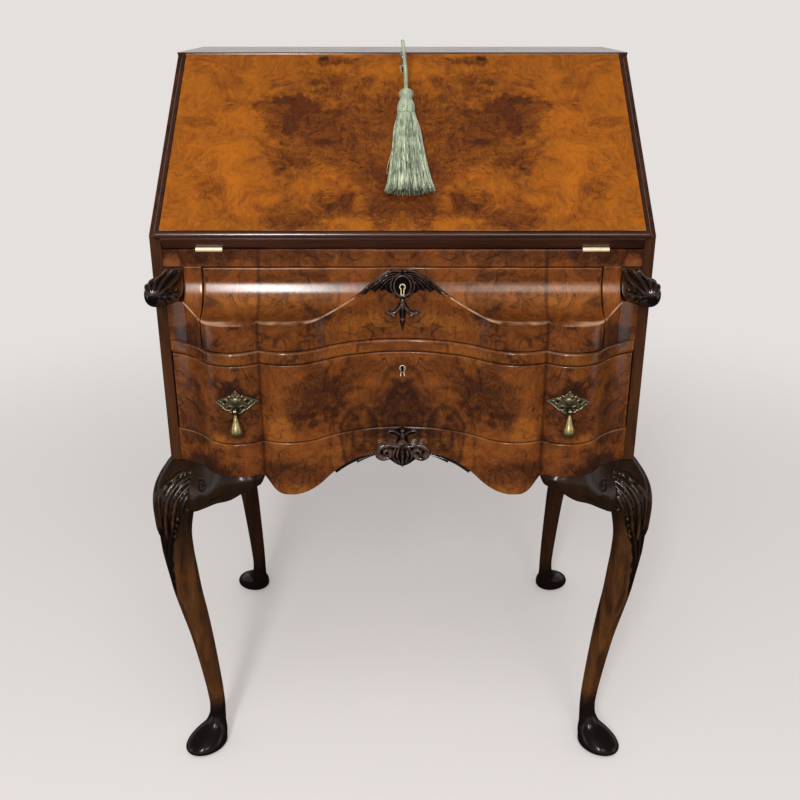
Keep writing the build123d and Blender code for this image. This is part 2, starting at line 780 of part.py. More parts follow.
def frieze_carving(front):
    """Leaf spray under the rail, a cartouche, a fleur and its tail, in relief on the drawer."""
    top = upper_front_top - groove_step
    right = polygon([(x * spray_half, top - down * spray_height) for x, down in spray_shares])
    eye_z = mid_rail_top + upper_key_height
    fleur_z = eye_z - fleur_drop
    swell = tail_half * stem_swell_share
    outline = right + mirrored(right) + Pos(0, eye_z) * Ellipse(cartouche_half, cartouche_height)
    stem = polygon([
        (-tail_half, eye_z), (tail_half, eye_z), (swell, fleur_z), (0, top - tail_drop), (-swell, fleur_z),
    ])
    curl_reach = fleur_half - fleur_ball
    curl = polygon([(x * curl_reach, fleur_z + up * fleur_ball) for x, up in curl_shares])
    ball = Pos(curl_reach, fleur_z) * Circle(fleur_ball)
    outline = outline + stem + curl + mirrored(curl) + ball + mirrored(ball)
    body = through(outline, -carving_relief, carving_sink) - front
    hole = Plane.XZ.offset(-carving_sink) * Pos(0, eye_z) * keyhole(0)
    body = body - extrude(hole, amount=carving_relief + carving_sink + overrun)
    return group(s for s in body.solids() if s.bounding_box().min.Y < 0)


def upper_drawer():
    low = mid_rail_top + slide_gap
    front = serpentine_front(upper_half, upper_front_low, upper_front_top, 0, front_back)
    front = front & hollow(-upper_half, upper_half, upper_front_low, upper_front_top, front_back)
    front, lock = drawer_lock(front, mid_rail_top + upper_key_height, -hollow_reach)
    solids["upper_drawer_lock"] = lock
    solids["frieze_carving"] = frieze_carving(front)
    drawer_box("upper_drawer", upper_half, low, upper_front_top - drawer_head_room, front)


def lower_drawer():
    low = apron_top + slide_gap
    front = serpentine_front(front_half, lower_front_low, lower_front_top, 0, front_back)
    key_z = lower_front_low + lower_key_height
    front, lock = drawer_lock(front, key_z, -lobe_reach)
    sink = bow_setback + thread_thick
    plane = Plane.XZ.offset(-sink) * Pos(0, key_z)
    front = front - extrude(plane * keyhole(thread_width), amount=thread_thick * 2)
    solids["lower_escutcheon"] = extrude(plane * thread(), amount=thread_thick)
    solids["lower_drawer_lock"] = lock
    half = front_half - drawer_side_play
    drawer_box("lower_drawer", half, low, lower_front_top - drawer_head_room, front)
    handles()


def handles():
    """Pierced plates bent to the lobes, posts with an eye and pear drops that swing in them."""
    z = lower_front_low + handle_height
    half_face = polygon([(x * plate_half, up * plate_rise) for x, up in plate_shares])
    face = half_face + mirrored(half_face)
    for x, up in pierce_shares:
        hole = Pos(plate_half * x, plate_rise * up) * Circle(pierce_radius)
        face = face - hole - mirrored(hole)
    face = Pos(handle_x, z) * face
    reach = lobe_reach + plate_thick + overrun
    skin = upright(serpentine(plate_thick, 0), z - 2 * plate_rise, z + 2 * plate_rise)
    skin = skin - upright(serpentine(0, overrun), z - 2 * plate_rise, z + 2 * plate_rise)
    plate = through(face, -reach, -lobe_reach / 2) & skin
    seat_y = -lobe_reach - plate_thick / 2
    pivot_y = -lobe_reach - plate_thick - post_reach
    pivot_z = z - drop_below
    base = Pos(handle_x, (seat_y + pivot_y + post_radius) / 2, pivot_z)
    base = base * Cylinder(post_radius, seat_y - pivot_y - post_radius, rotation=(90, 0, 0))
    cheek_in = drop_eye_half + eye_play
    cheek = Cylinder(cheek_radius, cheek_thick, rotation=(0, 90, 0))
    arm = block(-cheek_thick / 2, cheek_thick / 2, 0, post_radius + eye_play, -cheek_radius, cheek_radius)
    fork = base
    for side in (-1, 1):
        place = Pos(handle_x + side * (cheek_in + cheek_thick / 2), pivot_y, pivot_z)
        fork = fork + place * cheek + place * arm
    pin = Cylinder(drop_pin_radius, 2 * (cheek_in + cheek_thick / 2), rotation=(0, 90, 0))
    fork = fork + Pos(handle_x, pivot_y, pivot_z) * pin
    solids["handle_plates"] = both(plate + fork)

    eye = Cylinder(drop_eye_radius, 2 * drop_eye_half, rotation=(0, 90, 0))
    body = Rot(180, 0, 0) * turned(drop_shares, drop_radius, drop_length) + eye
    body = body - Cylinder(drop_pin_radius + running_fit, 3 * drop_eye_half, rotation=(0, 90, 0))
    right = Pos(handle_x, pivot_y, pivot_z) * body
    solids["drop_right"] = right
    solids["drop_left"] = mirrored(right)


def apron_parts():
    body = serpentine_front(inner_half, apron_top - apron_lobe_depth, apron_top, 0, apron_back)
    edge = [(x * front_half, apron_top - share * apron_lobe_depth) for x, share in apron_shares]
    groove_x = edge[-1][0] + groove_step / 4
    outline = [
        Spline(*edge, tangents=[(1, 0), (0.25, 1)]), Line(edge[-1], (groove_x + groove_step, case_bottom)),
        Line((groove_x + groove_step, case_bottom), (inner_half, case_bottom)),
        Line((inner_half, case_bottom), (inner_half, apron_top)),
        Line((inner_half, apron_top), (0, apron_top)), Line((0, apron_top), edge[0]),
    ]
    right = make_face(outline)
    shape = through(right + mirrored(right), -lobe_reach - overrun, apron_back)
    apron = body & shape
    solids["apron"] = apron

    face = polygon([(x * shell_half, apron_top - down * shell_drop) for x, down in shell_shares])
    carved = through(face + mirrored(face), -shell_relief, carving_sink) - apron
    solids["apron_shell"] = group(s for s in carved.solids() if s.bounding_box().min.Y < -carving_relief)

    inside = [point for point in edge if leaf_from_share < point[0] / front_half < leaf_to_share]
    lower = []
    for i, (x, z) in enumerate(inside):
        lower.append((x - leaf_lap, z - leaf_thick * (1 - i / len(inside))))
    leaf = polygon(inside + lower[::-1])
    plan = upright(serpentine(-bracket_inset, apron_back), apron_top - apron_lobe_depth, apron_top)
    leaf_back = leaf_depth - lobe_reach / 2
    leaf_low = apron_top - apron_lobe_depth - leaf_thick
    front_only = block(0, case_half, -lobe_reach, leaf_back, leaf_low, apron_top)
    strip = through(leaf, -lobe_reach - overrun, apron_back) & plan & front_only
    solids["apron_leaves"] = both(strip - apron)
    return apron


def superellipse(half_long, half_wide, power):
    """Points round a rounded square: each coordinate is its cosine or sine raised to two over power."""
    points = []
    for i in range(section_points):
        angle = 2 * math.pi * i / section_points
        c = math.cos(angle)
        s = math.sin(angle)
        x = math.copysign(abs(c) ** (2 / power), c) * half_long
        y = math.copysign(abs(s) ** (2 / power), s) * half_wide
        points.append((x, y))
    return points


def leg_section(long, wide, power, forward):
    """An outline that is square to the case where it is boxy and turned to the diagonal where it is not."""
    points = superellipse(long, wide, power)
    if power > square_power:
        return points
    diagonal = math.radians(-45 * forward)
    c = math.cos(diagonal)
    s = math.sin(diagonal)
    turned = [(px * c - py * s, px * s + py * c) for px, py in points]
    step = forward * section_points // 8 % section_points
    return turned[step:] + turned[:step]


def leg(x, y, forward, knee_shares):
    """A cabriole leg lofted through upright sections, its knee and toe turned out on the diagonal."""
    sections = []
    for i, (up, out, ahead, long, wide, power) in enumerate(leg_shares):
        if i < len(knee_shares):
            ahead = knee_shares[i]
        middle = (x + out * leg_half, y - forward * ahead * leg_half, up * case_bottom)
        outline = leg_section(long * leg_half, wide * leg_half, power, forward)
        sections.append(Plane(origin=middle) * polygon(outline))
    for up, out, ahead, long, wide in foot_shares:
        middle = (x + out * foot_half, y - forward * ahead * foot_half, up * foot_height)
        outline = leg_section(long * foot_half, wide * foot_half, foot_power, forward)
        sections.append(Plane(origin=middle) * polygon(outline))
    return loft(sections[::-1], ruled=True)


def legs_and_brackets(apron):
    front = leg(front_leg_x, front_leg_y, 1, ())
    back = leg(back_leg_x, back_leg_y, -1, back_knee_shares)
    solids["front_leg_right"] = front
    solids["front_leg_left"] = mirrored(front)
    solids["back_leg_right"] = back
    solids["back_leg_left"] = mirrored(back)

    groove_x = groove_share[0] * front_half + groove_step
    knee_x = front_leg_x - leg_half * 0.2
    span = knee_x - groove_x
    profiles = []
    for along, *reaches, drop_share in front_bracket_shares:
        drop = drop_share * bracket_drop
        face = []
        for reach, level in zip(reaches, bracket_level_shares):
            face.append((-reach * lobe_reach, case_bottom - level * drop))
        rear = [(face[-1][0] + bracket_thick, face[-1][1]), (face[0][0] + bracket_thick, case_bottom)]
        profiles.append(Plane.YZ.offset(groove_x + along * span) * polygon(face + rear))
    piece = loft(profiles, ruled=True)
    solids["front_brackets"] = both((piece - front).solids().sort_by(SortBy.VOLUME)[-1])

    inner_x = case_half - side_bracket_thick
    sides = []
    for start, sign, leg_solid in ((front_leg_y + leg_half, 1, front), (back_leg_y - leg_half, -1, back)):
        root = start - sign * leg_half / 2
        tip = start + sign * side_bracket_length
        span = start - tip
        edge = [(tip + span * a, case_bottom - b * side_bracket_drop) for a, b in side_bracket_shares]
        outline = [
            Spline(*edge), Line(edge[-1], (root, edge[-1][1])),
            Line((root, edge[-1][1]), (root, case_bottom)),
            Line((root, case_bottom), (tip, case_bottom)), Line((tip, case_bottom), edge[0]),
        ]
        piece = across(make_face(outline), inner_x, case_half - bracket_inset) - leg_solid
        sides.append(piece.solids().sort_by(SortBy.VOLUME)[-1])
    solids["side_brackets"] = group(s for piece in sides for s in (piece, mirrored(piece)))

    blocks = []
    inner_leg = front_leg_x - leg_half
    for y0, y1 in ((apron_back, block_depth), (inner_back - block_depth + apron_back, inner_back)):
        blocks.append(both(block(inner_leg, inner_half, y0, y1, case_bottom, apron_top - board_thick)))
    solids["corner_blocks"] = group(s for pair in blocks for s in pair.solids())


def writing_fittings():
    half = inner_half - unit_half_gap
    back = inner_back - unit_half_gap
    mid_low = bed_top + low_row
    mid_top = mid_low + unit_board
    top_low = bed_top + unit_height - unit_board
    shelves = [
        block(-half, half, unit_front, back, mid_low, mid_top),
        block(-half, half, unit_front, back, top_low, top_low + unit_board),
    ]
    solids["pigeonhole_shelves"] = group(shelves)
    posts = []
    for x in (-low_divider, low_divider):
        posts.append(block(x - unit_board / 2, x + unit_board / 2, unit_front, back, bed_top, mid_low))
    for place in high_dividers:
        for x in (-place, place):
            posts.append(block(x - unit_board / 2, x + unit_board / 2, unit_front, back, mid_top, top_low))
    solids["pigeonhole_dividers"] = group(posts)

    x0 = low_divider + unit_board / 2 + small_play
    x1 = half - small_play
    y0 = unit_front + small_play
    z0 = bed_top + small_play
    z1 = mid_low - small_play
    y1 = back - small_end_room
    hollow_of_tray = block(
        x0 + small_wall, x1 - small_wall, y0 + small_wall, y1 - small_wall, z0 + small_floor, z1
    )
    tray = block(x0, x1, y0, y1, z0, z1) - hollow_of_tray
    middle = ((x0 + x1) / 2, (z0 + z1) / 2)
    knob = turned(knob_shares, knob_radius, knob_reach)
    knob = Plane(origin=(middle[0], y0, middle[1]), x_dir=(1, 0, 0), z_dir=(0, -1, 0)) * knob
    right = group([tray, knob])
    solids["small_drawer_right"] = right
    solids["small_drawer_left"] = mirrored(right)


def move_to_centre():
    """The origin goes under the middle of everything but the tassel."""
    boxes = [shape.bounding_box() for name, shape in solids.items() if name not in cord_names]
    middle = (min(b.min.Y for b in boxes) + max(b.max.Y for b in boxes)) / 2
    for name, shape in solids.items():
        solids[name] = Pos(0, -middle, 0) * shape
    return middle


case_shell()
fall_parts(hinge_parts())
key_part()
tassel_parts()
loper_parts()
upper_drawer()
lower_drawer()
legs_and_brackets(apron_parts())
writing_fittings()
solids["drawer_stops"] = stile_stops()
middle_y = move_to_centre()
print("front plane of the case at y", round(-middle_y, 3))
for name, shape in solids.items():
    export_step(shape, "parts/" + name + ".step")
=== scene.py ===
import json
import math

import bmesh
import bpy
import numpy as np
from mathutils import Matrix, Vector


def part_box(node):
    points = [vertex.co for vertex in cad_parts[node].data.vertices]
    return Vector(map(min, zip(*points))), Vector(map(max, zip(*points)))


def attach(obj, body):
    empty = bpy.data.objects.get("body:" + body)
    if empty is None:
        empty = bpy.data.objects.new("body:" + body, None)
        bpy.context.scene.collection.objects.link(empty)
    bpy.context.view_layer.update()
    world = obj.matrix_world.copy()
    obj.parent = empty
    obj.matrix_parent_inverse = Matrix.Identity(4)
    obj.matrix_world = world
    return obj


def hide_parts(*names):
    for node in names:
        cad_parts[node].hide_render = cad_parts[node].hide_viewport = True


# Looks of a small walnut writing bureau, in metres: X to the right, Y to the back, Z up.

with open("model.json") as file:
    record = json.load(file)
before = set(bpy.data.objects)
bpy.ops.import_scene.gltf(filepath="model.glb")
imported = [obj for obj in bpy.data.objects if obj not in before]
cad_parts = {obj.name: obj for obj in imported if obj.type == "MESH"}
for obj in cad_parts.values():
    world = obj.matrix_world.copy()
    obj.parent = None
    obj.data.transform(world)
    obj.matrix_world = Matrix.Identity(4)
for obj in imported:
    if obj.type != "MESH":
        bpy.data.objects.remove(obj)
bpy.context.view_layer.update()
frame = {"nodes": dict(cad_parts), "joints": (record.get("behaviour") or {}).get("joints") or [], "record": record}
nodes = frame["nodes"]
bodyOf = {node: body for body, group in frame["record"]["behaviour"]["bodies"].items() for node in group}
print("frame loaded,", len(nodes), "nodes")

mm = 0.001
fullTurn = 2 * math.pi
frontStep = 2.5 * mm   # cell width of the veneered fronts
plainEdge = 35       # degrees between faces above which an edge is sharp


def low(node):
    return np.array(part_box(node)[0])


def high(node):
    return np.array(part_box(node)[1])


caseHalf = high("side_panel_right")[0]
innerHalf, frontPlane, caseBottom = low("side_panel_right")   # frontPlane: y of the case's front edges


# Shapes

# Pairs of numbers times a scale, which is a millimetre unless another is given.
def pairs(*numbers, scale=mm):
    return np.reshape(numbers, (-1, 2)) * scale


def unit(value):
    return np.clip(value, 0, 1)


# Half a round: the root of one minus the square of the share of the way to its edge.
def rounded(share):
    return np.sqrt(unit(1 - share ** 2))


# Angles carried into the half turn on either side of nought.
def nearestTurn(angle):
    return (angle + math.pi) % fullTurn - math.pi


def ringAngles(count):
    return np.linspace(0, fullTurn, count, endpoint=False)


# Faces of a grid of points, each cell's corners in order round it.
def gridFaces(rows, columns, roundRows=False, roundColumns=False):
    r, c = np.meshgrid(
        np.arange(rows if roundRows else rows - 1),
        np.arange(columns if roundColumns else columns - 1), indexing="ij",
    )
    r2, c2 = (r + 1) % rows, (c + 1) % columns
    corners = [r * columns + c, r * columns + c2, r2 * columns + c2, r2 * columns + c]
    return np.stack(corners, -1).reshape(-1, 4)


def linked(name, data):
    made = bpy.data.objects.new(name, data)
    bpy.context.scene.collection.objects.link(made)
    return made


# Smooth faces, with the edges between faces that turn by more than the angle kept sharp.
def smoothFaces(mesh, sharp=plainEdge):
    mesh.polygons.foreach_set("use_smooth", np.ones(len(mesh.polygons), bool))
    mesh.set_sharp_from_angle(angle=math.radians(sharp))


# A mesh object from points and lists of faces, its normals outwards; "carve", kept at its points, tells
# its material how high its carving stands, what is worn, and where painted highlight and painted shade go.
def shapeObject(name, points, faceSets, sharp=plainEdge, carve=None):
    points = np.asarray(points, float).reshape(-1, 3)
    faceSets = [np.asarray(f) for f in faceSets]
    loops = np.concatenate([f.ravel() for f in faceSets]).astype(np.int32)
    sizes = np.concatenate([np.full(len(f), f.shape[1]) for f in faceSets])
    mesh = bpy.data.meshes.new(name)
    mesh.vertices.add(len(points))
    mesh.vertices.foreach_set("co", points.ravel())
    mesh.loops.add(len(loops))
    mesh.loops.foreach_set("vertex_index", loops)
    mesh.polygons.add(len(sizes))
    mesh.polygons.foreach_set("loop_start", np.concatenate([[0], np.cumsum(sizes)[:-1]]).astype(np.int32))
    mesh.update(calc_edges=True)
    if carve is not None:
        values = mesh.attributes.new("carve", "FLOAT", "POINT").data
        values.foreach_set("value", carve.ravel().astype(np.float32))
    work = bmesh.new()
    work.from_mesh(mesh)
    bmesh.ops.remove_doubles(work, verts=work.verts, dist=1e-6)
    bmesh.ops.recalc_face_normals(work, faces=work.faces)
    work.to_mesh(mesh)
    work.free()
    smoothFaces(mesh, sharp)
    return linked(name, mesh)


# A piece from rings of points stacked along it, closed by a face at either end.
def stackedObject(name, points, sharp=plainEdge, carve=None):
    rows, columns = points.shape[:2]
    ring = np.arange(columns)
    last = (rows - 1) * columns + ring
    faces = [gridFaces(rows, columns, roundColumns=True), ring[None, ::-1], last[None, :]]
    return shapeObject(name, points, faces, sharp, carve)


# Reads the points of an object's mesh, or writes them.
def meshPoints(piece, points=None):
    if points is not None:
        piece.data.vertices.foreach_set("co", points.ravel())
        return points
    points = np.zeros(len(piece.data.vertices) * 3)
    piece.data.vertices.foreach_get("co", points)
    return points.reshape(-1, 3)


# Evenly spaced places from stop to stop, no further apart than the step.
def spread(stops, step):
    runs = [np.linspace(a, b, int(math.ceil((b - a) / step)) + 1)[:-1] for a, b in zip(stops, stops[1:])]
    return np.append(np.concatenate(runs), stops[-1])


# A quarter round in steps: distance in from the edge is the radius times one minus the cosine, and the
# face falls back by the radius times one minus the sine.
def quarterRound(radius, steps=4):
    turn = np.linspace(0, math.pi / 2, steps + 1)[:-1]
    return radius * (1 - np.cos(turn)), radius * (1 - np.sin(turn))


# A smooth line through points: cubics whose slopes are the mean slopes of the runs beside them.
def smoothLine(at, xs, ys):
    xs, ys = np.asarray(xs, float), np.asarray(ys, float)
    slope = np.gradient(ys, xs)
    i = np.clip(np.searchsorted(xs, at, side="right") - 1, 0, len(xs) - 2)
    run = xs[i + 1] - xs[i]
    t = unit((at - xs[i]) / run)
    a = (1 + 2 * t) * (1 - t) ** 2 * ys[i] + t ** 2 * (3 - 2 * t) * ys[i + 1]
    return a + run * (t * (1 - t) ** 2 * slope[i] - t ** 2 * (1 - t) * slope[i + 1])


# The same for each further column of a table, against its first.
def smoothTable(at, rows):
    rows = np.array(rows)
    return [smoothLine(at, rows[:, 0], column) for column in rows.T[1:]]


# The same through points of a plane or space, at even steps of the point's number.
def smoothPath(points, count):
    points = np.asarray(points, float)
    at = np.linspace(0, len(points) - 1, count)
    return np.stack([smoothLine(at, np.arange(len(points)), column) for column in points.T], -1)


# The corner numbers round the edge of a grid.
def gridRim(shape):
    count = np.arange(shape[0] * shape[1]).reshape(shape)
    return np.concatenate([count[0, :-1], count[:-1, -1], count[-1, :0:-1], count[:0:-1, 0]])[None, :]


def setRim(grid, value):
    grid[0, :] = grid[-1, :] = value
    grid[:, 0] = grid[:, -1] = value


# A board with a shaped face: columns across, rows between given lines, the height of the face forward
# of its plane, rounded edges and a flat back. Its top edge is marked pale, as wear and a painted highlight,
# and so is what the last function says; its rim is marked minus one, as painted shade in the gaps beside it.
def facedBoard(name, across, step, lines, counts, forward, back, radius, where, worn=None):
    topEdgeWearAndHighlight, creasedSharp, least = 0.45, 52, 1e-5
    near, fall = quarterRound(radius)
    inner = spread([across[0] + radius, *across[1:-1], across[-1] - radius], step)
    x = np.concatenate([across[:1], across[0] + near, inner, across[-1] - near[::-1], across[-1:]])
    setX = np.concatenate([[0], fall, np.zeros(len(inner)), fall[::-1], [0]])
    levels = [line(x) for line in lines]
    bounds = [levels[0] + radius, *levels[1:-1], levels[-1] - radius]
    for i in range(1, len(bounds)):
        bounds[i] = np.maximum(bounds[i], bounds[i - 1] + least)
    rows = [levels[0]] + [levels[0] + n for n in near]
    for lower, upper, count in zip(bounds, bounds[1:], counts):
        rows += [lower + share * (upper - lower) for share in np.linspace(0, 1, count + 1)[:-1]]
    rows += [bounds[-1]] + [levels[-1] - n for n in near[::-1]] + [levels[-1]]
    z = np.array(rows)
    setZ = np.concatenate([[0], fall, np.zeros(len(rows) - 2 - 2 * len(near)), fall[::-1], [0]])
    x = np.broadcast_to(x, z.shape)
    f = forward(x, z) - setX[None, :] - setZ[:, None]
    setRim(f, -back)
    edgeMarks = np.zeros(z.shape)
    # The top edge's rounding is marked pale, as wear and a painted highlight.
    edgeMarks[-1 - len(near):-1] = topEdgeWearAndHighlight
    if worn is not None:
        edgeMarks = np.maximum(edgeMarks, worn(x, z))
    # The rim is marked for painted shade in the gaps between parts.
    setRim(edgeMarks, -1)
    sharp = plainEdge if worn is None else creasedSharp
    return shapeObject(name, where(x, f, z), [gridFaces(*z.shape), gridRim(z.shape)], sharp, edgeMarks)


# The nearest place on a line from a to b, as a share of it, and how far away it is in x and in z.
def alongSegment(x, z, a, b):
    (ax, az), (bx, bz) = a, b
    square = max((bx - ax) ** 2 + (bz - az) ** 2, 1e-18)
    t = unit(((x - ax) * (bx - ax) + (z - az) * (bz - az)) / square)
    return t, x - ax - t * (bx - ax), z - az - t * (bz - az)


# Distance from each point to a closed outline, less than nothing inside it.
def outlineDistance(x, z, outline):
    best = np.full(x.shape, 1e9)
    inside = np.zeros(x.shape, bool)
    for a, b in zip(outline, np.roll(outline, -1, axis=0)):
        best = np.minimum(best, np.hypot(*alongSegment(x, z, a, b)[1:]))
        crosses = (a[1] > z) != (b[1] > z)
        inside ^= crosses & (x < (b[0] - a[0]) * (z - a[1]) / (b[1] - a[1] + 1e-18) + a[0])
    return np.where(inside, -best, best)


# A rounded rib along a line: the height times the root of one minus the square of the distance over
# the half width, which changes from point to point.
def rib(x, z, line, halfWidths, height, count=14):
    line = smoothPath(line, count)
    widths = np.interp(np.linspace(0, 1, count), np.linspace(0, 1, len(halfWidths)), halfWidths)
    best = np.zeros(x.shape)
    for a, b, widthA, widthB in zip(line, line[1:], widths, widths[1:]):
        t, awayX, awayZ = alongSegment(x, z, a, b)
        away = np.hypot(awayX, awayZ) / (widthA + (widthB - widthA) * t)
        best = np.maximum(best, height * rounded(away))
    return best


# The same with a point for its line.
def boss(x, z, centre, radius, height):
    return height * rounded(np.hypot(x - centre[0], z - centre[1]) / radius)


# Highest of several ribs, each a row of its line, half widths and height, the line times a scale and
# moved to its place; half widths and heights are in millimetres.
def ribs(x, z, rows, scale, origin, count=14):
    total = np.zeros(x.shape)
    for line, halfWidths, height in rows:
        placed = pairs(*line, scale=scale) + origin
        total = np.maximum(total, rib(x, z, placed, np.array(halfWidths) * mm, height * mm, count))
    return total


# A carved piece cut to an outline: the cells of a fine grid that lie inside it, with the corners near
# it drawn on to it, a face raised by the carving's height, and walls back to a rear surface.
def carvedPiece(name, xs, zs, distance, height, ground, rear, where):
    reach, leastSteep = 0.8, 0.3
    x, z = np.meshgrid(xs, zs)
    cell = xs[1] - xs[0]
    d = distance(x, z)
    slopeZ, slopeX = np.gradient(d, cell)
    steep = np.maximum(np.hypot(slopeX, slopeZ), leastSteep)
    away = d / steep
    near = np.abs(away) < reach * cell
    x = x - np.where(near, away * slopeX / steep, 0)
    z = z - np.where(near, away * slopeZ / steep, 0)
    cells = gridFaces(*x.shape)
    kept = (away < reach * cell).ravel()[cells].all(1) & (d.ravel()[cells].mean(1) < 0)
    used, cells = np.unique(cells[kept], return_inverse=True)
    cells = cells.reshape(-1, 4)
    x, z = x.ravel()[used], z.ravel()[used]
    raised = height(x, z)
    points = np.concatenate([where(x, ground(x, z) + raised, z), where(x, rear(x, z), z)])
    edges = np.concatenate([np.stack([cells[:, k], cells[:, (k + 1) % 4]], -1) for k in range(4)])
    total = len(used)
    rim = edges[~np.isin(edges[:, 0] * total + edges[:, 1], edges[:, 1] * total + edges[:, 0])]
    walls = np.stack([rim[:, 1], rim[:, 0], rim[:, 0] + total, rim[:, 1] + total], -1)
    carve = np.concatenate([raised, np.zeros(total)])
    return shapeObject(name, points, [cells, cells[:, ::-1] + total, walls], carve=carve)


# A turned piece: radii along an axis, carried round it; the ends are closed at their poles.
def turnedObject(name, radii, along, sides, where):
    r, turn = np.meshgrid(np.concatenate([[0], radii, [0]]), ringAngles(sides), indexing="ij")
    w = np.broadcast_to(np.concatenate([along[:1], along, along[-1:]])[:, None], r.shape)
    points = where(r * np.cos(turn), r * np.sin(turn), w)
    return shapeObject(name, points, [gridFaces(*r.shape, roundColumns=True)])


# A tube: at each point of a path a ring of the given radii square to the path, and fans at its ends.
def tubeObject(name, path, radii, sides, sharp=plainEdge, carve=None):
    along = np.gradient(path, axis=0)
    along /= np.linalg.norm(along, axis=1)[:, None]
    side = np.cross(along[0], (1, 0.3, 0.2))
    first = []
    for direction in along:
        side = side - direction * side.dot(direction)
        side = side / np.linalg.norm(side)
        first.append(side)
    first = np.array(first)
    second = np.cross(along, first)
    angle = ringAngles(sides)[None, :]
    radii = np.broadcast_to(radii, (len(path), sides))
    around = np.cos(angle)[..., None] * first[:, None] + np.sin(angle)[..., None] * second[:, None]
    points = path[:, None] + radii[..., None] * around
    total = len(path) * sides
    ring = np.arange(sides)
    after = (ring + 1) % sides
    near = np.stack([np.full(sides, total), after, ring], -1)
    far = np.stack([np.full(sides, total + 1), total - sides + ring, total - sides + after], -1)
    points = np.concatenate([points.reshape(-1, 3), path[:1], path[-1:]])
    faces = [gridFaces(len(path), sides, roundColumns=True), near, far]
    return shapeObject(name, points, faces, sharp, carve)


# Several objects made one mesh.
def joined(name, pieces):
    work = bmesh.new()
    for piece in pieces:
        work.from_mesh(piece.data)
    work.to_mesh(pieces[0].data)
    work.free()
    pieces[0].name = name
    for piece in pieces[1:]:
        bpy.data.objects.remove(piece)
    return pieces[0]


# Cuts one closed piece out of another.
def cutAway(piece, cutter):
    cut = piece.modifiers.new("cut", "BOOLEAN")
    cut.object = cutter
    cut.solver = "EXACT"
    mesh = bpy.data.meshes.new_from_object(piece.evaluated_get(bpy.context.evaluated_depsgraph_get()))
    piece.modifiers.clear()
    piece.data = mesh
    mesh.set_sharp_from_angle(angle=math.radians(plainEdge))
    bpy.data.objects.remove(cutter)


# A merged copy of a CAD piece with its flat faces made whole and its edges softly rounded; only what
# lies behind the plane of "keep", a point and a normal, is kept.
def softened(node, width, keep=None):
    mesh = nodes[node].data.copy()
    work = bmesh.new()
    work.from_mesh(mesh)
    bmesh.ops.remove_doubles(work, verts=work.verts, dist=2e-6)
    if keep is not None:
        everything = work.verts[:] + work.edges[:] + work.faces[:]
        bmesh.ops.bisect_plane(work, geom=everything, plane_co=keep[0], plane_no=keep[1], clear_outer=True)
        bmesh.ops.holes_fill(work, edges=[e for e in work.edges if e.is_boundary])
    bmesh.ops.join_triangles(
        work, faces=work.faces, angle_face_threshold=math.radians(1), angle_shape_threshold=math.pi)
    bmesh.ops.recalc_face_normals(work, faces=work.faces)
    work.to_mesh(mesh)
    work.free()
    smoothFaces(mesh)
    piece = linked(node + "_finished", mesh)
    bevel = piece.modifiers.new("rounding", "BEVEL")
    bevel.width = width
    bevel.segments = 2
    bevel.limit_method = "ANGLE"
    bevel.angle_limit = math.radians(40)
    bevel.harden_normals = True
    return piece


# Gives a piece its finishes and its body, and hides the CAD pieces that it stands for; the slot is not used.
def place(piece, body, finish, slot, *replaced):
    piece.data.materials.clear()
    for one in finish.split():
        piece.data.materials.append(finishes[one])
    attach(piece, body)
    if replaced:
        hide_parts(*replaced)


# A CAD piece that keeps its own mesh, or the part of it behind a plane, with edges rounded in mm.
def placeCad(node, body, finish, slot, rounding, keep=None):
    place(softened(node, rounding * mm, keep), body, finish, slot, node)


# Materials

building = {"tree": None}   # the node tree that nodes are being added to


# A value in that tree; its sums, differences, products and size are nodes of their own.
class Term:
    def __init__(self, socket):
        self.socket = socket

    def __add__(self, other):
        return calc("ADD", self, other)

    def __sub__(self, other):
        return calc("SUBTRACT", self, other)

    def __rsub__(self, other):
        return calc("SUBTRACT", other, self)

    def __mul__(self, other):
        return calc("MULTIPLY", self, other)

    def __abs__(self):
        return calc("ABSOLUTE", self)

    __radd__, __rmul__ = __add__, __mul__


def feed(socket, value):
    if isinstance(value, Term):
        building["tree"].links.new(value.socket, socket)
    elif isinstance(value, tuple) and len(value) == 3 and len(getattr(socket, "default_value", ())) == 4:
        socket.default_value = (*value, 1)
    else:
        socket.default_value = value


# Adds a node, with what goes into its inputs by name or number, and gives the output asked for.
def put(kind, inputs, output=0, **settings):
    node = building["tree"].nodes.new("ShaderNode" + kind)
    for key, value in settings.items():
        setattr(node, key, value)
    for key, value in inputs.items():
        feed(node.inputs[key], value)
    return Term(node.outputs[output])


def calc(operation, *values):
    return put("Math", dict(enumerate(values)), operation=operation)


# Keeps the result of a sum between nought and one.
def clamped(term):
    term.socket.node.use_clamp = True
    return term


def larger(first, second):
    return calc("MAXIMUM", first, second)


def largest(terms):
    total = terms[0]
    for term in terms[1:]:
        total = larger(total, term)
    return total


def vectorCalc(operation, *values):
    output = "Value" if operation == "LENGTH" else 0
    return put("VectorMath", dict(enumerate(values)), output, operation=operation)


# How far a point lies from a centre, in half sizes.
def awayFrom(vector, centre, size):
    return vectorCalc("LENGTH", vectorCalc("DIVIDE", vectorCalc("SUBTRACT", vector, centre), size))


# A value carried smoothly from nought to one between two levels.
def ramp(value, start, end):
    levels = {"Value": value, "From Min": start, "From Max": end}
    return put("MapRange", levels, interpolation_type="SMOOTHSTEP")


def blend(share, first, second, mode="MIX"):
    return put("Mix", {0: share, 6: first, 7: second}, 2, data_type="RGBA", blend_type=mode)


# A fractal noise; the stretch, where given, first scales the vector along its axes.
def noise(vector, scale, detail=4, roughness=0.55, distortion=0, stretch=None, output="Fac"):
    if stretch:
        vector = vectorCalc("MULTIPLY", vector, stretch)
    return put("TexNoise", {
        "Vector": vector, "Scale": scale, "Detail": detail, "Roughness": roughness, "Distortion": distortion,
    }, output)


# Distance from the middle between whole numbers: nought half way, one half at each of them.
def fold(value):
    return abs(calc("FRACT", value) - 0.5)


def attribute():
    return put("Attribute", {}, "Fac", attribute_name="carve")


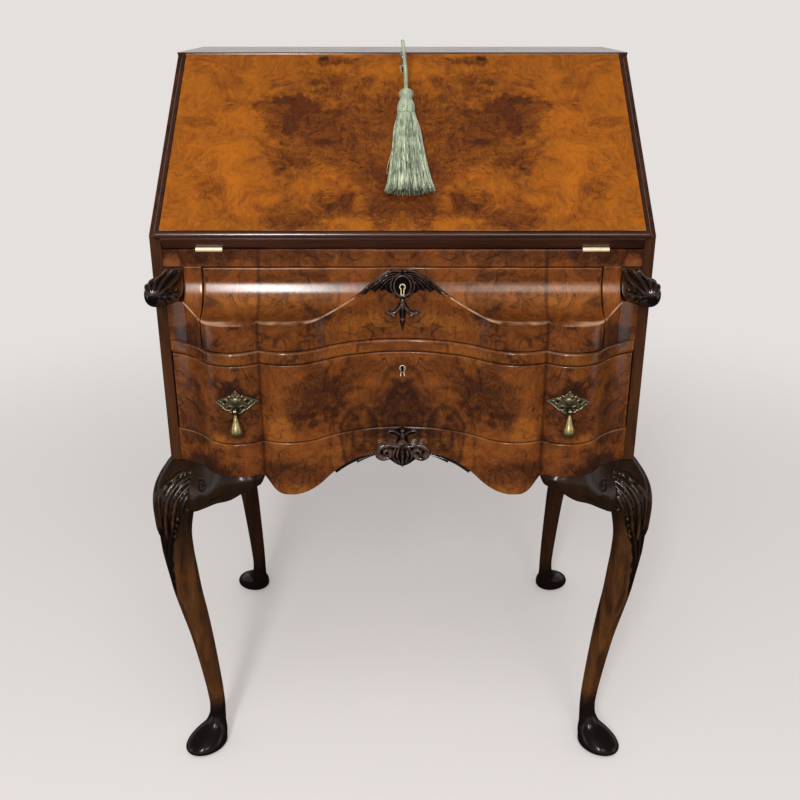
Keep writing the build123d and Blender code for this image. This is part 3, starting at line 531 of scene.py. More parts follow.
# A named group of nodes, its inputs and outputs as label=kind: gives the tree, what comes in by label,
# the vector first, and the sockets for what goes out.
def newGroup(name, inputs, outputs):
    tree = bpy.data.node_groups.new(name, "ShaderNodeTree")
    for way, sockets in (("INPUT", dict(Vector="Vector", **inputs)), ("OUTPUT", outputs)):
        for label, kind in sockets.items():
            tree.interface.new_socket(label, in_out=way, socket_type="NodeSocket" + kind)
    building["tree"] = tree
    given = [Term(socket) for socket in tree.nodes.new("NodeGroupInput").outputs if socket.name]
    return tree, given, tree.nodes.new("NodeGroupOutput").inputs


def useGroup(name, inputs):
    node = building["tree"].nodes.new("ShaderNodeGroup")
    node.node_tree = groups[name]
    for key, value in inputs.items():
        feed(node.inputs[key], value)
    return {socket.name: Term(socket) for socket in node.outputs}


# Burr walnut: a warped cloudy ground, short dark curls that crowd in clusters, long dark lines round the
# clouds, a few swirling veins and a fine ripple up the grain. Cloud darkens it and draws the curls, Eyes
# and Lines set how strong the curls and the lines are.
def makeBurrGroup():
    inputs = dict(Cloud="Float", Eyes="Float", Lines="Float", Light="Color", Brown="Color", Dark="Color")
    outputs = dict(Color="Color", Height="Float")
    tree, (vector, cloud, eyes, lines, light, brown, dark), out = newGroup("burrWalnut", inputs, outputs)
    warp = noise(vector, 13, 3, 0.5, output="Color")
    shift = {0: vectorCalc("SUBTRACT", warp, (0.5, 0.5, 0.5)), "Scale": 0.09}
    bent = vectorCalc("ADD", vector, put("VectorMath", shift, operation="SCALE"))
    ground = ramp(noise(bent, 14, 6, 0.66, 0.6), 0.38, 0.62)
    mottle = ramp(noise(bent, 62, 6, 0.72, 1.2, (0.65, 1, 1)), 0.36, 0.64)
    curl = noise(bent, 175, 4, 0.62, 2, (0.5, 1, 1))
    ripple = ramp(noise(bent, 360, 4, 0.62, 0, (1, 0.12, 0.12)), 0.34, 0.66)
    dust = ramp(noise(vector, 900, 3, 0.7, 0, (1, 0.6, 0.6)), 0.35, 0.65)
    tone = ground * 0.42 + mottle * 0.34 + ripple * 0.2 + dust * 0.2
    color = blend(clamped(tone - 0.24 + cloud * 0.55), light, brown)
    crowd = ramp(noise(bent, 24, 5, 0.65) + cloud * 0.2, 0.5, 0.66) * eyes
    curls = larger(ramp(abs(curl - 0.5), 0.05, 0.01) * 0.6, ramp(curl, 0.55, 0.64)) * crowd
    line = ramp(fold(noise(bent, 21, 2, 0.5, 1.6) * 7), 0.11, 0)
    line = line * ramp(noise(bent, 9, 2), 0.42, 0.62)
    vein = ramp(fold(noise(bent, 8, 2, 0.5, 2.2) * 5), 0.1, 0.01)
    vein = vein * ramp(noise(bent, 15, 3), 0.42, 0.58)
    marks = clamped(larger(curls, larger(line * 0.8, vein) * lines))
    feed(out["Color"], blend(marks, color, dark))
    feed(out["Height"], mottle - marks * 0.5)
    return tree


# Straight walnut: bands and dark pores drawn out along the grain, which runs along the vector's Z.
def makeGrainGroup():
    inputs = dict(Figure="Float", Light="Color", Dark="Color")
    outputs = dict(Color="Color", Height="Float")
    tree, (vector, figure, light, dark), out = newGroup("straightWalnut", inputs, outputs)
    warp = noise(vector, 7, 3, stretch=(1, 1, 0.35))
    bent = vectorCalc("ADD", vectorCalc("MULTIPLY", vector, (1, 1, 0.06)), warp * 0.08)
    bands = noise(bent, 60, 5, 0.6, 0.5)
    streaks = noise(vector, 380, 3, 0.6, stretch=(1, 1, 0.04))
    pores = noise(vector, 1500, 2, 0.5, stretch=(1, 1, 0.07))
    broad = noise(vector, 6, 3)
    tone = clamped(ramp(bands, 0.3, 0.75) * figure + (streaks - 0.45) * 0.7)
    tone = clamped(tone + ramp(broad, 0.45, 0.75) * 0.35)
    feed(out["Color"], blend(ramp(pores, 0.58, 0.7) * 0.5, blend(tone, light, dark), dark))
    feed(out["Height"], streaks - pores * 0.5)
    return tree


# A ragged oval patch: one in its middle, nought outside; the rim follows a noise.
def makePatchGroup():
    tree, (vector, centre, size, ragged), out = newGroup(
        "patch", dict(Centre="Vector", Size="Vector", Ragged="Float"), dict(Mask="Float"))
    rough = noise(vector, 42, 5, 0.65) - 0.5
    feed(out["Mask"], ramp(awayFrom(vector, centre, size) + rough * (ragged * 3), 1, 0.45))
    return tree


# Fine scratches and dull spots in a polish, as a roughness.
def makePolishGroup():
    tree, (vector, roughness, spreadOut), out = newGroup(
        "polish", dict(Roughness="Float", Spread="Float"), dict(Roughness="Float"))
    cloud = noise(vector, 30, 5, 0.65) - 0.5
    rub = noise(vector, 900, 2, stretch=(1, 0.15, 0.15)) - 0.5
    feed(out["Roughness"], clamped(roughness + (cloud + rub * 0.5) * spreadOut))
    return tree


groups = {
    "burr": makeBurrGroup(), "grain": makeGrainGroup(), "patch": makePatchGroup(),
    "polish": makePolishGroup(),
}


def dress(shader, inputs):
    for key, value in inputs.items():
        feed(shader.inputs[key], value)


# A new material and its shader, with the values that are the same all over it.
def newMaterial(name, coat=0, coatRoughness=0.08, metallic=0, specular=0.08):
    material = bpy.data.materials.new(name)
    material.use_nodes = True
    building["tree"] = material.node_tree
    shader = material.node_tree.nodes["Principled BSDF"]
    dress(shader, {
        "Coat Weight": coat, "Coat Roughness": coatRoughness, "Metallic": metallic,
        "Specular IOR Level": specular,
    })
    return material, shader


# Object coordinates, turned and shifted to the slope where a piece leans.
def objectVector(turn=(0, 0, 0), location=(0, 0, 0)):
    vector = put("TexCoord", {}, "Object")
    if any(turn) or any(location):
        vector = put("Mapping", {"Vector": vector, "Location": location, "Rotation": turn})
    return vector


def vectorParts(vector):
    node = put("SeparateXYZ", {"Vector": vector}).socket.node
    return [Term(socket) for socket in node.outputs]


def relief(height, strength, distance=mm):
    return put("Bump", {"Height": height, "Strength": strength, "Distance": distance})


def polished(vector, roughness, spreadOut):
    return useGroup("polish", {"Vector": vector, "Roughness": roughness, "Spread": spreadOut})["Roughness"]


# Centre and half size of a place in millimetres across and up the fall's slope or the front.
def spot(onSlope, x, up, halfX, halfUp):
    if onSlope:
        return (x * mm, up * mm, 0), (halfX * mm, halfUp * mm, 1)
    return (x * mm, -0.19, up * mm), (halfX * mm, 1, halfUp * mm)


# Largest of the patches in a list of place, how ragged, how strong.
def patches(vector, onSlope, rows):
    masks = []
    for *where, ragged, strength in rows:
        centre, size = spot(onSlope, *where)
        given = {"Vector": vector, "Centre": centre, "Size": size, "Ragged": ragged}
        masks.append(useGroup("patch", given)["Mask"] * strength)
    return largest(masks)


# Nested dark arches, as where a crotch of the tree was cut: lines where 2.4 times the warped distance
# from the centre, in half sizes, lies half way between whole numbers, faded out past the last.
def arches(vector, onSlope, rows):
    rough = noise(vector, 22, 4, 0.6) - 0.5
    lines = []
    for where in rows:
        far = awayFrom(vector, *spot(onSlope, *where)) + rough * 0.5
        lines.append(ramp(fold(far * 2.4), 0.26, 0) * ramp(far, 1.15, 0.95))
    return largest(lines)


# Burr veneer, matched about the middle, with its own clouds, gold patches, knots and arches, dark along
# the sharp grooves of the serpentine as grime and painted shade, dark round its rim as painted shade, and
# pale where its edges are marked, as wear and a painted highlight.
def burrMaterial(name, look, turn=(0, 0, 0), location=(0, 0, 0)):
    material, shader = newMaterial(name, look["coat"], look["coatRoughness"])
    x, y, z = vectorParts(objectVector(turn, location))
    vector = put("CombineXYZ", {"X": abs(x), "Y": y, "Z": z})
    sloped, dark = look["sloped"], look["dark"]
    wood = useGroup("burr", {
        "Vector": vector, "Cloud": patches(vector, sloped, look["clouds"]) * look["cloudDepth"],
        "Eyes": look["eyes"], "Lines": look["lines"], "Light": look["light"], "Brown": look["brown"],
        "Dark": dark,
    })
    color = wood["Color"]
    # Gold patches of the figure; on the front one wide row is painted light on the hollow.
    goldAndLitPatches = patches(vector, sloped, look["goldAndLitPatches"])
    color = blend(goldAndLitPatches, color, blend(1, color, look["goldTint"], "MULTIPLY"))
    if "knots" in look:
        color = blend(patches(vector, sloped, look["knots"]), color, dark)
    if "arches" in look:
        color = blend(arches(vector, sloped, look["arches"]) * 0.55, color, dark)
    # Grime and painted shade along the sharp grooves.
    if "grooves" in look:
        line, half, depth = look["grooves"]
        color = blend(ramp(abs(vectorParts(vector)[0] - line), half, 0) * depth, color, dark)
    edge = attribute()
    # Painted shade: the marked rim darkens in the gaps between parts.
    color = blend(ramp(edge, 0, -0.3) * 0.9, color, dark)
    # Wear and a painted highlight: marked top edges and the crease turn pale; so does a line on the fall panel.
    color = blend(ramp(edge, 0.25, 0.95) * ramp(noise(vector, 30, 3), 0.36, 0.6), color, look["worn"])
    dress(shader, {
        "Base Color": color, "Roughness": polished(vector, look["roughness"], 0.2),
        "Normal": relief(wood["Height"], look["bump"]),
    })
    return material


# Straight walnut's colour and height in a material.
def grainWood(vector, look):
    return useGroup("grain", {
        "Vector": vector, "Figure": look["figure"], "Light": look["light"], "Dark": look["dark"],
    })


def grainMaterial(name, look):
    material, shader = newMaterial(name, look["coat"], look["coatRoughness"])
    vector = objectVector(look["turn"])
    wood = grainWood(vector, look)
    dress(shader, {
        "Base Color": wood["Color"], "Roughness": polished(vector, look["roughness"], 0.25),
        "Normal": relief(wood["Height"], look["bump"]),
    })
    return material


fallTilt = math.radians(38.4)
fallLook = {
    "coat": 0.5, "coatRoughness": 0.13, "roughness": 0.45, "bump": 0.1, "cloudDepth": 1, "sloped": True,
    "eyes": 0.8, "lines": 0.1, "light": (0.325, 0.096, 0.0064), "brown": (0.084, 0.0205, 0.005),
    "dark": (0.026, 0.008, 0.004), "goldTint": (1.3, 1.25, 1), "worn": (0.4, 0.2, 0.08),
    # places in millimetres across and up, their half sizes, how ragged, how strong
    "clouds": [
        (30, 150, 110, 140, 0.5, 0.75), (125, 165, 80, 100, 0.6, 0.7), (105, 262, 100, 30, 0.7, 0.5),
        (150, 218, 55, 40, 0.8, 0.8), (90, 310, 35, 14, 0.8, 0.8), (88, 52, 45, 32, 0.8, 0.7),
        (145, 35, 60, 30, 0.8, 0.55), (20, 45, 30, 30, 0.8, 0.7), (245, 75, 25, 20, 0.8, 0.35),
    ],
    "goldAndLitPatches": [(86, 102, 35, 18, 0.5, 0.7), (240, 130, 60, 130, 0.3, 0.4), (200, 60, 50, 40, 0.5, 0.4)],
    "knots": [
        (89.5, 50, 14, 12, 0.75, 0.6), (152, 112, 8, 4, 0.7, 0.8), (109, 314.5, 12, 6, 0.7, 0.8),
        (117, 268, 13, 8, 0.9, 0.6), (160, 233, 20, 10, 0.9, 0.6), (100, 158, 16, 6, 0.9, 0.5),
    ],
}
frontLook = {
    "coat": 0.9, "coatRoughness": 0.19, "roughness": 0.42, "bump": 0.1, "cloudDepth": 0.9, "sloped": False,
    "eyes": 0.7, "lines": 0.7, "light": (0.185, 0.051, 0.0062), "brown": (0.031, 0.0078, 0.0026),
    "dark": (0.012, 0.0042, 0.0025), "goldTint": (1.6, 1.85, 1.4), "worn": (0.42, 0.25, 0.15),
    # The grooves are darkened as grime and painted shade.
    "grooves": (0.18, 0.004, 0.6),   # where across, half width and depth
    "clouds": [
        (110, 585, 65, 50, 0.9, 0.75), (20, 565, 50, 50, 0.8, 0.7), (215, 575, 45, 60, 0.8, 0.9),
        (275, 545, 30, 80, 0.7, 0.9), (130, 725, 90, 18, 0.9, 0.7), (105, 695, 35, 18, 0.8, 0.7),
        (150, 480, 55, 25, 0.9, 0.6), (255, 480, 55, 30, 0.7, 1), (265, 660, 45, 25, 0.7, 1),
        (190, 762, 170, 20, 0.8, 0.9), (0, 530, 40, 85, 0.4, 0.85), (56, 520, 36, 65, 0.4, 0.75),
    ],
    # Gold patches of the figure; the wide row at 712 up lightens the whole hollow, painted light where it faces
    # up.
    "goldAndLitPatches": [
        (60, 505, 50, 12, 0.4, 0.6), (50, 675, 50, 14, 0.4, 0.7), (205, 705, 40, 14, 0.5, 0.7),
        (130, 455, 30, 14, 0.5, 0.5), (215, 640, 30, 16, 0.5, 0.5), (85, 635, 50, 14, 0.5, 0.6),
        (155, 545, 22, 30, 0.5, 0.5), (165, 712, 150, 20, 0.4, 0.5), (235, 530, 22, 16, 0.5, 0.5),
    ],
    "arches": [(0, 525, 38, 92), (58, 515, 36, 72)],
}
sideLook = {
    "coat": 0.4, "coatRoughness": 0.14, "roughness": 0.42, "bump": 0.12, "figure": 0.7,
    "turn": (0, 0, 0), "light": (0.062, 0.021, 0.0065), "dark": (0.012, 0.0045, 0.0025),
}
mouldingLook = {
    "coat": 1, "coatRoughness": 0.2, "roughness": 0.34, "bump": 0.1, "figure": 0.6,
    "turn": (0, math.pi / 2, 0), "light": (0.05, 0.016, 0.009), "dark": (0.012, 0.0045, 0.0032),
}
topLook = dict(mouldingLook, coat=0.8, light=(0.1, 0.035, 0.016), dark=(0.035, 0.012, 0.007), roughness=0.3)
liningLook = {
    "coat": 0, "coatRoughness": 0.3, "roughness": 0.6, "bump": 0.25, "figure": 0.4,
    "turn": (math.pi / 2, 0, 0), "light": (0.42, 0.26, 0.12), "dark": (0.2, 0.11, 0.05),
}
innerLook = dict(liningLook, turn=mouldingLook["turn"], light=(0.3, 0.15, 0.06), dark=(0.12, 0.055, 0.025))


# Dark carved wood: black in the hollows as painted shade and grime, brown on the sides of the ribs, and
# pale along their tops as wear and a painted highlight, by the height of the carving kept at its points.
def carvedMaterial(name, look):
    material, shader = newMaterial(name, look["coat"], look["coatRoughness"])
    vector = objectVector()
    wood = grainWood(vector, look)
    height = attribute()
    carvingNoise = noise(vector, 160, 4)
    # Painted shade and grime: black in the hollows of the carving.
    color = blend(ramp(height, look["low"], look["middle"]), look["recessGrimeAndShade"], wood["Color"])
    # Wear and a painted highlight along the tops of the ribs.
    ridgeWearAndHighlight = ramp(height, look["middle"], look["high"]) * ramp(carvingNoise, 0.34, 0.56)
    dress(shader, {
        "Base Color": blend(ridgeWearAndHighlight, color, look["ridgeWearAndHighlight"]), "Roughness": look["roughness"] - ridgeWearAndHighlight * 0.1,
        "Normal": relief(wood["Height"] + carvingNoise, 0.15),
    })
    return material


carvingLook = {
    "coat": 1, "coatRoughness": 0.1, "roughness": 0.34, "figure": 0.6,
    "low": 0.001, "middle": 0.004, "high": 0.0062,   # heights of the carving
    # The darkest colour is painted shade and grime in the hollows; the palest is wear and a painted highlight.
    "light": (0.018, 0.008, 0.005), "dark": (0.007, 0.0035, 0.0028), "recessGrimeAndShade": (0.0025, 0.0016, 0.0013),
    "ridgeWearAndHighlight": (0.075, 0.045, 0.036),
}
# The loper heads' carving, with a darker painted highlight on the tops.
loperLook = dict(carvingLook, low=0.0002, middle=0.0014, high=0.0034, ridgeWearAndHighlight=(0.026, 0.014, 0.01))
legLook = {
    "coat": 0.32, "coatRoughness": 0.14, "roughness": 0.36, "bump": 0.12, "figure": 0.8,
    "light": (0.11, 0.041, 0.0105), "dark": (0.016, 0.006, 0.0028), "foot": (0.007, 0.004, 0.0035),
    # The darkest colour here is painted shade and grime in the carving's hollows; the last is wear and a
    # highlight.
    "knee": (0.008, 0.0045, 0.0026), "back": (0.008, 0.0035, 0.0025), "recessGrimeAndShade": (0.0036, 0.0022, 0.0015),
    "worn": (0.06, 0.024, 0.009),
}


# Legs: brown on the shin, near black at the knee and foot and on the back legs, black in the hollows of
# the carving as painted shade and grime, and brown on its ribs as wear and a painted highlight.
def legMaterial():
    look = legLook
    material, shader = newMaterial("legWalnut", look["coat"], look["coatRoughness"])
    vector = objectVector()
    wood = grainWood(vector, look)
    _, y, z = vectorParts(vector)
    z = z + (noise(vector, 18, 4) - 0.5) * 0.14
    color = blend(ramp(z, 0.1, 0.045), wood["Color"], look["foot"])
    color = blend(ramp(z, 0.32, 0.42) * 0.88, color, look["knee"])
    color = blend(ramp(y, 0.02, 0.06) * 0.7, color, look["back"])
    carve = attribute()
    # Painted shade and grime in the hollows of the carving.
    color = blend(ramp(carve, -0.00005, -0.0003), color, look["recessGrimeAndShade"])
    # Wear and a painted highlight on the carving's ribs.
    worn = ramp(carve, 0.0008, 0.002) * ramp(noise(vector, 45, 4), 0.4, 0.6)
    dress(shader, {
        "Base Color": blend(worn * 0.8, color, look["worn"]),
        "Roughness": polished(vector, look["roughness"], 0.2), "Normal": relief(wood["Height"], look["bump"]),
    })
    return material


# Brass and steel: dull in the hollows and where no hand reaches, bright where it does.
def metalMaterial(name, bright, dull, dullness, roughness, metallic=1):
    material, shader = newMaterial(name, metallic=metallic)
    cloud = noise(objectVector(), 220, 5, 0.6)
    cover = clamped(cloud + dullness - ramp(attribute(), 0.0006, 0.002))
    dress(shader, {
        "Base Color": blend(ramp(cover, 0.3, 0.8), bright, dull), "Roughness": roughness + cover * 0.25,
        "Normal": relief(cloud, 0.2, 0.0004),
    })
    return material


# Leather: cells of a pebbled grain, dark in the creases between them and worn paler in places.
def leatherMaterial():
    material, shader = newMaterial("writingLeather")
    vector = objectVector()
    cells = put("TexVoronoi", {"Vector": vector, "Scale": 900}, "Distance", feature="DISTANCE_TO_EDGE")
    grain = ramp(cells, 0, 0.25)
    color = blend(ramp(noise(vector, 9, 5), 0.45, 0.7), (0.018, 0.05, 0.03), (0.045, 0.085, 0.05))
    dress(shader, {
        "Base Color": blend(grain, (0.008, 0.02, 0.014), color), "Roughness": 0.62 - grain * 0.12,
        "Normal": relief(grain, 0.35, 0.0005),
    })
    return material


# Silk: pale sage threads with darker ones among them; the attribute darkens, as painted shade, what lies deep.
def silkMaterial(name, light, dark, size):
    material, shader = newMaterial(name, specular=0.5)
    vector = objectVector()
    strands = noise(vector, size, 3, 0.7, stretch=(1, 0.06, 0.06))
    color = blend(ramp(strands * 0.7 + noise(vector, 60, 3) * 0.3, 0.41, 0.56), dark, light)
    # Painted shade from the attribute: in the dips of the braid and head, on the core and on deep threads.
    color = blend(attribute(), color, blend(1, color, (0.1, 0.13, 0.1), "MULTIPLY"))
    dress(shader, {"Base Color": color, "Roughness": 0.42, "Sheen Weight": 0.3, "Sheen Roughness": 0.4})
    return material


hingeY, hingeZ = next(j for j in frame["joints"] if j["name"] == "fall_hinge")["pos_m"][1:]
slopeSin, slopeCos = math.sin(fallTilt), math.cos(fallTilt)
# The hinge line taken to the origin by the turn: its place along the slope and out of it.
slopeShift = (0, -(hingeY * slopeCos + hingeZ * slopeSin), -(hingeZ * slopeCos - hingeY * slopeSin))

finishes = {
    "fallBurr": burrMaterial("fallBurr", fallLook, (-fallTilt, 0, 0), slopeShift),
    "frontBurr": burrMaterial("frontBurr", frontLook),
    "side": grainMaterial("sideWalnut", sideLook),
    "moulding": grainMaterial("mouldingWalnut", mouldingLook),
    "top": grainMaterial("topWalnut", topLook),
    "lining": grainMaterial("drawerLining", liningLook),
    "inner": grainMaterial("carcassWood", innerLook),
    "carving": carvedMaterial("carvedDark", carvingLook),
    "loper": carvedMaterial("loperDark", loperLook),
    "leg": legMaterial(),
    "plate": metalMaterial("agedBrass", (0.24, 0.205, 0.12), (0.035, 0.033, 0.024), 0.3, 0.42),
    "thread": metalMaterial("wornBrass", (0.93, 0.79, 0.55), (0.6, 0.44, 0.22), -0.2, 0.45, 0.5),
    "brass": metalMaterial("polishedBrass", (0.92, 0.74, 0.42), (0.5, 0.36, 0.16), -0.1, 0.36),
    "drop": metalMaterial("handledBrass", (0.62, 0.52, 0.24), (0.22, 0.19, 0.07), 0, 0.26),
    "steel": metalMaterial("wornSteel", (0.62, 0.62, 0.62), (0.25, 0.24, 0.22), 0, 0.24),
    "leather": leatherMaterial(),
    "silk": silkMaterial("tasselSilk", (0.66, 0.72, 0.51), (0.17, 0.25, 0.15), 1400),
    "cordSilk": silkMaterial("cordSilk", (0.54, 0.61, 0.42), (0.2, 0.27, 0.17), 900),
}
print("materials made")


# Front of the case: a serpentine plan and a hollow moulding

serpentine = {
    "half": 0.297, "reach": 0.0545, "startAngle": 19.9, "setback": 0.0033,
    # joins of the arcs as shares of the half width and the reach
    "lobeJoin": (0.855, 0.607), "groove": (0.606, 0.752), "bowJoin": (0.353, 0.629),
}


# The arc that leaves a start along a heading and reaches an end: its centre lies square to the heading,
# at the chord's square over twice its part along that direction. Gives centre, radius and last heading.
def tangentArc(start, end, heading):
    start, end, heading = (np.array(p, float) for p in (start, end, heading))
    chord = end - start
    square = np.array([-heading[1], heading[0]])
    radius = chord.dot(chord) / (2 * chord.dot(square))
    onward = chord / np.linalg.norm(chord)
    return start + square * radius, abs(radius), 2 * heading.dot(onward) * onward - heading


# The groove's x, and from the middle out each arc's start, end, centre, radius and side.
def serpentineArcs():
    half, reach = serpentine["half"], serpentine["reach"]
    lobeJoin, groove, bowJoin = (
        (serpentine[key][0] * half, serpentine[key][1] * reach) for key in ("lobeJoin", "groove", "bowJoin"))
    angle = math.radians(serpentine["startAngle"])
    lobeHollow = tangentArc((half, 0), lobeJoin, (-math.cos(angle), math.sin(angle)))
    lobeRound = tangentArc(lobeJoin, groove, lobeHollow[2])
    bowHollow = tangentArc((0, -serpentine["setback"]), bowJoin, (1, 0))
    bowRound = tangentArc(bowJoin, groove, bowHollow[2])
    return groove[0], [
        (0, bowJoin[0], bowHollow, -1), (bowJoin[0], groove[0], bowRound, 1),
        (groove[0], lobeJoin[0], lobeRound, 1), (lobeJoin[0], half, lobeHollow, -1),
    ]


grooveX, arcs = serpentineArcs()


# How far the serpentine stands forward at x: on each arc its centre plus or minus the root of the
# radius squared less the distance from the centre squared.
def serpentineForward(x, z=None):
    x = np.abs(x)
    total = np.zeros(x.shape)
    for start, end, (centre, radius, _), side in arcs:
        arc = centre[1] + side * np.sqrt(np.clip(radius ** 2 - (x - centre[0]) ** 2, 0, None))
        total = np.where((x >= start) & (x <= end), arc, total)
    return total


hollow = {"reach": 0.06, "drop": 0.04, "middle": (0.27, 0.7), "flat": 0.0175}
lipZ = high("upper_drawer_front")[2] - hollow["flat"]


# Centre and radius of the circle through three points.
def circleThrough(a, b, c):
    (ax, ay), (bx, by), (cx, cy) = a, b, c
    d = 2 * (ax * (by - cy) + bx * (cy - ay) + cx * (ay - by))
    aa, bb, cc = ax * ax + ay * ay, bx * bx + by * by, cx * cx + cy * cy
    x = (aa * (by - cy) + bb * (cy - ay) + cc * (ay - by)) / d
    y = (aa * (cx - bx) + bb * (ax - cx) + cc * (bx - ax)) / d
    return x, y, math.hypot(ax - x, ay - y)


hollowX, hollowZ, hollowRadius = circleThrough(
    (0, lipZ), (hollow["middle"][0] * hollow["reach"], lipZ - hollow["middle"][1] * hollow["drop"]),
    (hollow["reach"], lipZ - hollow["drop"]),
)


# How far the hollow moulding lets the front stand forward: an arc below the lip, nothing above it.
def hollowForward(z):
    arc = hollowX - np.sqrt(np.clip(hollowRadius ** 2 - (z - hollowZ) ** 2, 0, None))
    return np.where(z > lipZ, 0, arc)


# The height at which the hollow meets the serpentine.
def creaseHeight(x):
    s = serpentineForward(x)
    return np.where(s > 0, hollowZ - np.sqrt(np.clip(hollowRadius ** 2 - (s - hollowX) ** 2, 0, None)), lipZ)


# The upper drawer's face: the serpentine, and above the crease the lesser of it and the hollow.
def mouldedForward(x, z):
    s = serpentineForward(x)
    return np.where(z <= creaseHeight(x) + 1e-7, s, np.minimum(s, hollowForward(z)))


# Points across, forward of the case's front and up, taken to the scene, or to the scene's other side.
def onFront(x, f, z):
    return np.stack([x, frontPlane - f, z], -1)


def onSide(side):
    return lambda x, f, z: onFront(side * x, f, z)


def level(z):
    return lambda x: np.full(np.shape(x), z)


# Radii of the rounded edges; crease is how far the pale wear and painted highlight reach beside the
# crease, play how far a drawer front's back stands clear, threadEye the radius of a keyhole's eye with its
# brass thread.
edgeRound = {"front": 1.2 * mm, "rail": 2.8 * mm, "apron": 1.6 * mm, "tall": 0.8 * mm, "short": 0.4 * mm}
frontShape = {"crease": 0.9 * mm, "play": 0.2 * mm, "threadEye": 3.9 * mm, "railProud": 1.2 * mm}


# Lines below and above the crease, whose edge is worn round, and how pale that edge is painted, as wear
# and a painted highlight: one on the edge, falling to nothing over its rounding.
def creaseLines(top):
    shares = (-1.7, -1, 0.5, 1.2)
    return [lambda x, s=s: np.minimum(creaseHeight(x) + s * frontShape["crease"], top) for s in shares]


def creaseWearAndHighlight(x, z):
    return unit(1.7 - np.abs(z - creaseHeight(x)) / frontShape["crease"])


# A board of the hollow moulding: rows below the crease, close round it, and above it.
def hollowBoard(name, across, lowest, highest, margin, upperRows, back, radius, where):
    lines = [level(lowest), *creaseLines(highest - margin), level(highest)]
    rows = [14, 1, 1, 1, upperRows]
    return facedBoard(name, across, frontStep, lines, rows, mouldedForward, back, radius, where, creaseWearAndHighlight)


# A board of the serpentine across the whole front, standing on a lower line.
def serpentineBoard(name, node, lower, count, forward, play, radius, step=frontStep):
    half, back, top = high(node)
    half = min(half, innerHalf)
    across = [-half, -grooveX, 0, grooveX, half]
    back = back - frontPlane - play
    return facedBoard(name, across, step, [lower, level(top)], [count], forward, back, radius, onFront)


# A keyhole's bar, to be cut through a front: a round eye over a slot, as wide as the brass thread in it.
def keyholeCutter(z, half=2.3 * mm, length=13.9 * mm):
    radius, slotAngle, reach = frontShape["threadEye"], 0.46, 0.08
    turn = np.linspace(-math.pi / 2 + slotAngle, 1.5 * math.pi - slotAngle, 24)
    x = np.concatenate([radius * np.cos(turn), [-half, half]])
    up = z + np.concatenate([radius * np.sin(turn), [-length + radius] * 2])
    front = np.stack([x, np.full(x.shape, frontPlane - reach), up], -1)
    return stackedObject("cutter", np.stack([front, front + (0, 2 * reach, 0)]))


def veneer(board, body, node):
    place(board, body, "frontBurr", "burr_walnut", node)


upperEye = low("mid_rail")[2] + 0.0865
lowerEye = high("lower_escutcheon")[2] - frontShape["threadEye"]
# The thread of the lower keyhole widens below its eye: how much wider and longer than a plain one.
lowerThread = {"wide": 1.4, "long": 1.15, "half": 2.3 * mm, "below": 10 * mm, "widening": 3 * mm}


def upperFront():
    node = "upper_drawer_front"
    half = high(node)[0]
    board = hollowBoard(
        "upper_front_veneered", [-half, -grooveX, 0, grooveX, half], low(node)[2], high(node)[2], 4 * mm, 40,
        high(node)[1] - frontPlane - frontShape["play"], edgeRound["front"], onFront,
    )
    cutAway(board, keyholeCutter(upperEye))
    veneer(board, "upper_drawer", node)


# The strips beside the drawer: to the top inside the lopers' channels, up to the runners outside them.
def friezeStrip(side, node):
    inner, _, floor = low("frieze_strip_right")
    _, back, top = high("frieze_strip_right")
    back = back - frontPlane
    channel, runner = high("loper_partitions")[0], high("loper_runners")[2]
    strips = [
        hollowBoard("strip", across, floor, upper, margin, rows, back, radius, onSide(side))
        for across, upper, margin, rows, radius in (
            ([inner, channel], top, 4 * mm, 40, edgeRound["tall"]),
            ([channel, innerHalf], runner, 3 * mm, 12, edgeRound["short"]),
        )
    ]
    veneer(joined(node + "_veneered", strips), "case", node)


def midRail():
    node = "mid_rail"
    rail = serpentineBoard(
        "mid_rail_veneered", node, level(low(node)[2]), 6,
        lambda x, z: serpentineForward(x) + frontShape["railProud"], 0, edgeRound["rail"],
    )
    veneer(rail, "case", node)


def lowerFront():
    t, node, eye = lowerThread, "lower_drawer_front", lowerEye
    board = serpentineBoard(
        "lower_front_veneered", node, level(low(node)[2]), 40, serpentineForward, frontShape["play"],
        edgeRound["front"],
    )
    length = frontShape["threadEye"] + t["below"] * t["long"]
    cutAway(board, keyholeCutter(eye, t["half"] * t["wide"], length))
    veneer(board, "lower_drawer", node)
    thread = softened("lower_escutcheon", 0.2 * mm)
    points = meshPoints(thread)
    points[:, 0] *= 1 + (t["wide"] - 1) * unit((eye - points[:, 2]) / t["widening"])
    points[:, 2] -= np.clip(eye - points[:, 2], 0, None) * (t["long"] - 1)
    meshPoints(thread, points)
    place(thread, "lower_drawer", "thread", "brass", "lower_escutcheon")


# The apron's lower edge: shares of the serpentine's half width and of the greatest depth.
apronShape = {
    "depth": 0.0745, "rise": 0.005,
    "edge": pairs(
        0, 0.463, 0.12, 0.5, 0.232, 0.584, 0.303, 0.71, 0.37, 0.879, 0.431, 0.973,
        0.495, 1, 0.539, 0.973, 0.566, 0.893, 0.586, 0.785, 0.603, 0.698, scale=1,
    ),
}


# The apron's lower edge at x: a smooth line to the groove, then level.
def apronEdge(x):
    xs, downs = (apronShape["edge"] * (serpentine["half"], apronShape["depth"])).T
    zs = high("apron")[2] - downs
    x = np.abs(x)
    after = unit((x - xs[-1]) / apronShape["rise"])
    return np.where(x > xs[-1], zs[-1] + after * (caseBottom - zs[-1]), smoothLine(x, xs, zs))


upperFront()
for side, word in ((1, "right"), (-1, "left")):
    friezeStrip(side, "frieze_strip_" + word)
midRail()
lowerFront()
apron = serpentineBoard(
    "apron_veneered", "apron", apronEdge, 36, serpentineForward, 0, edgeRound["apron"], 1.5 * mm)
veneer(apron, "case", "apron")
print("front made")


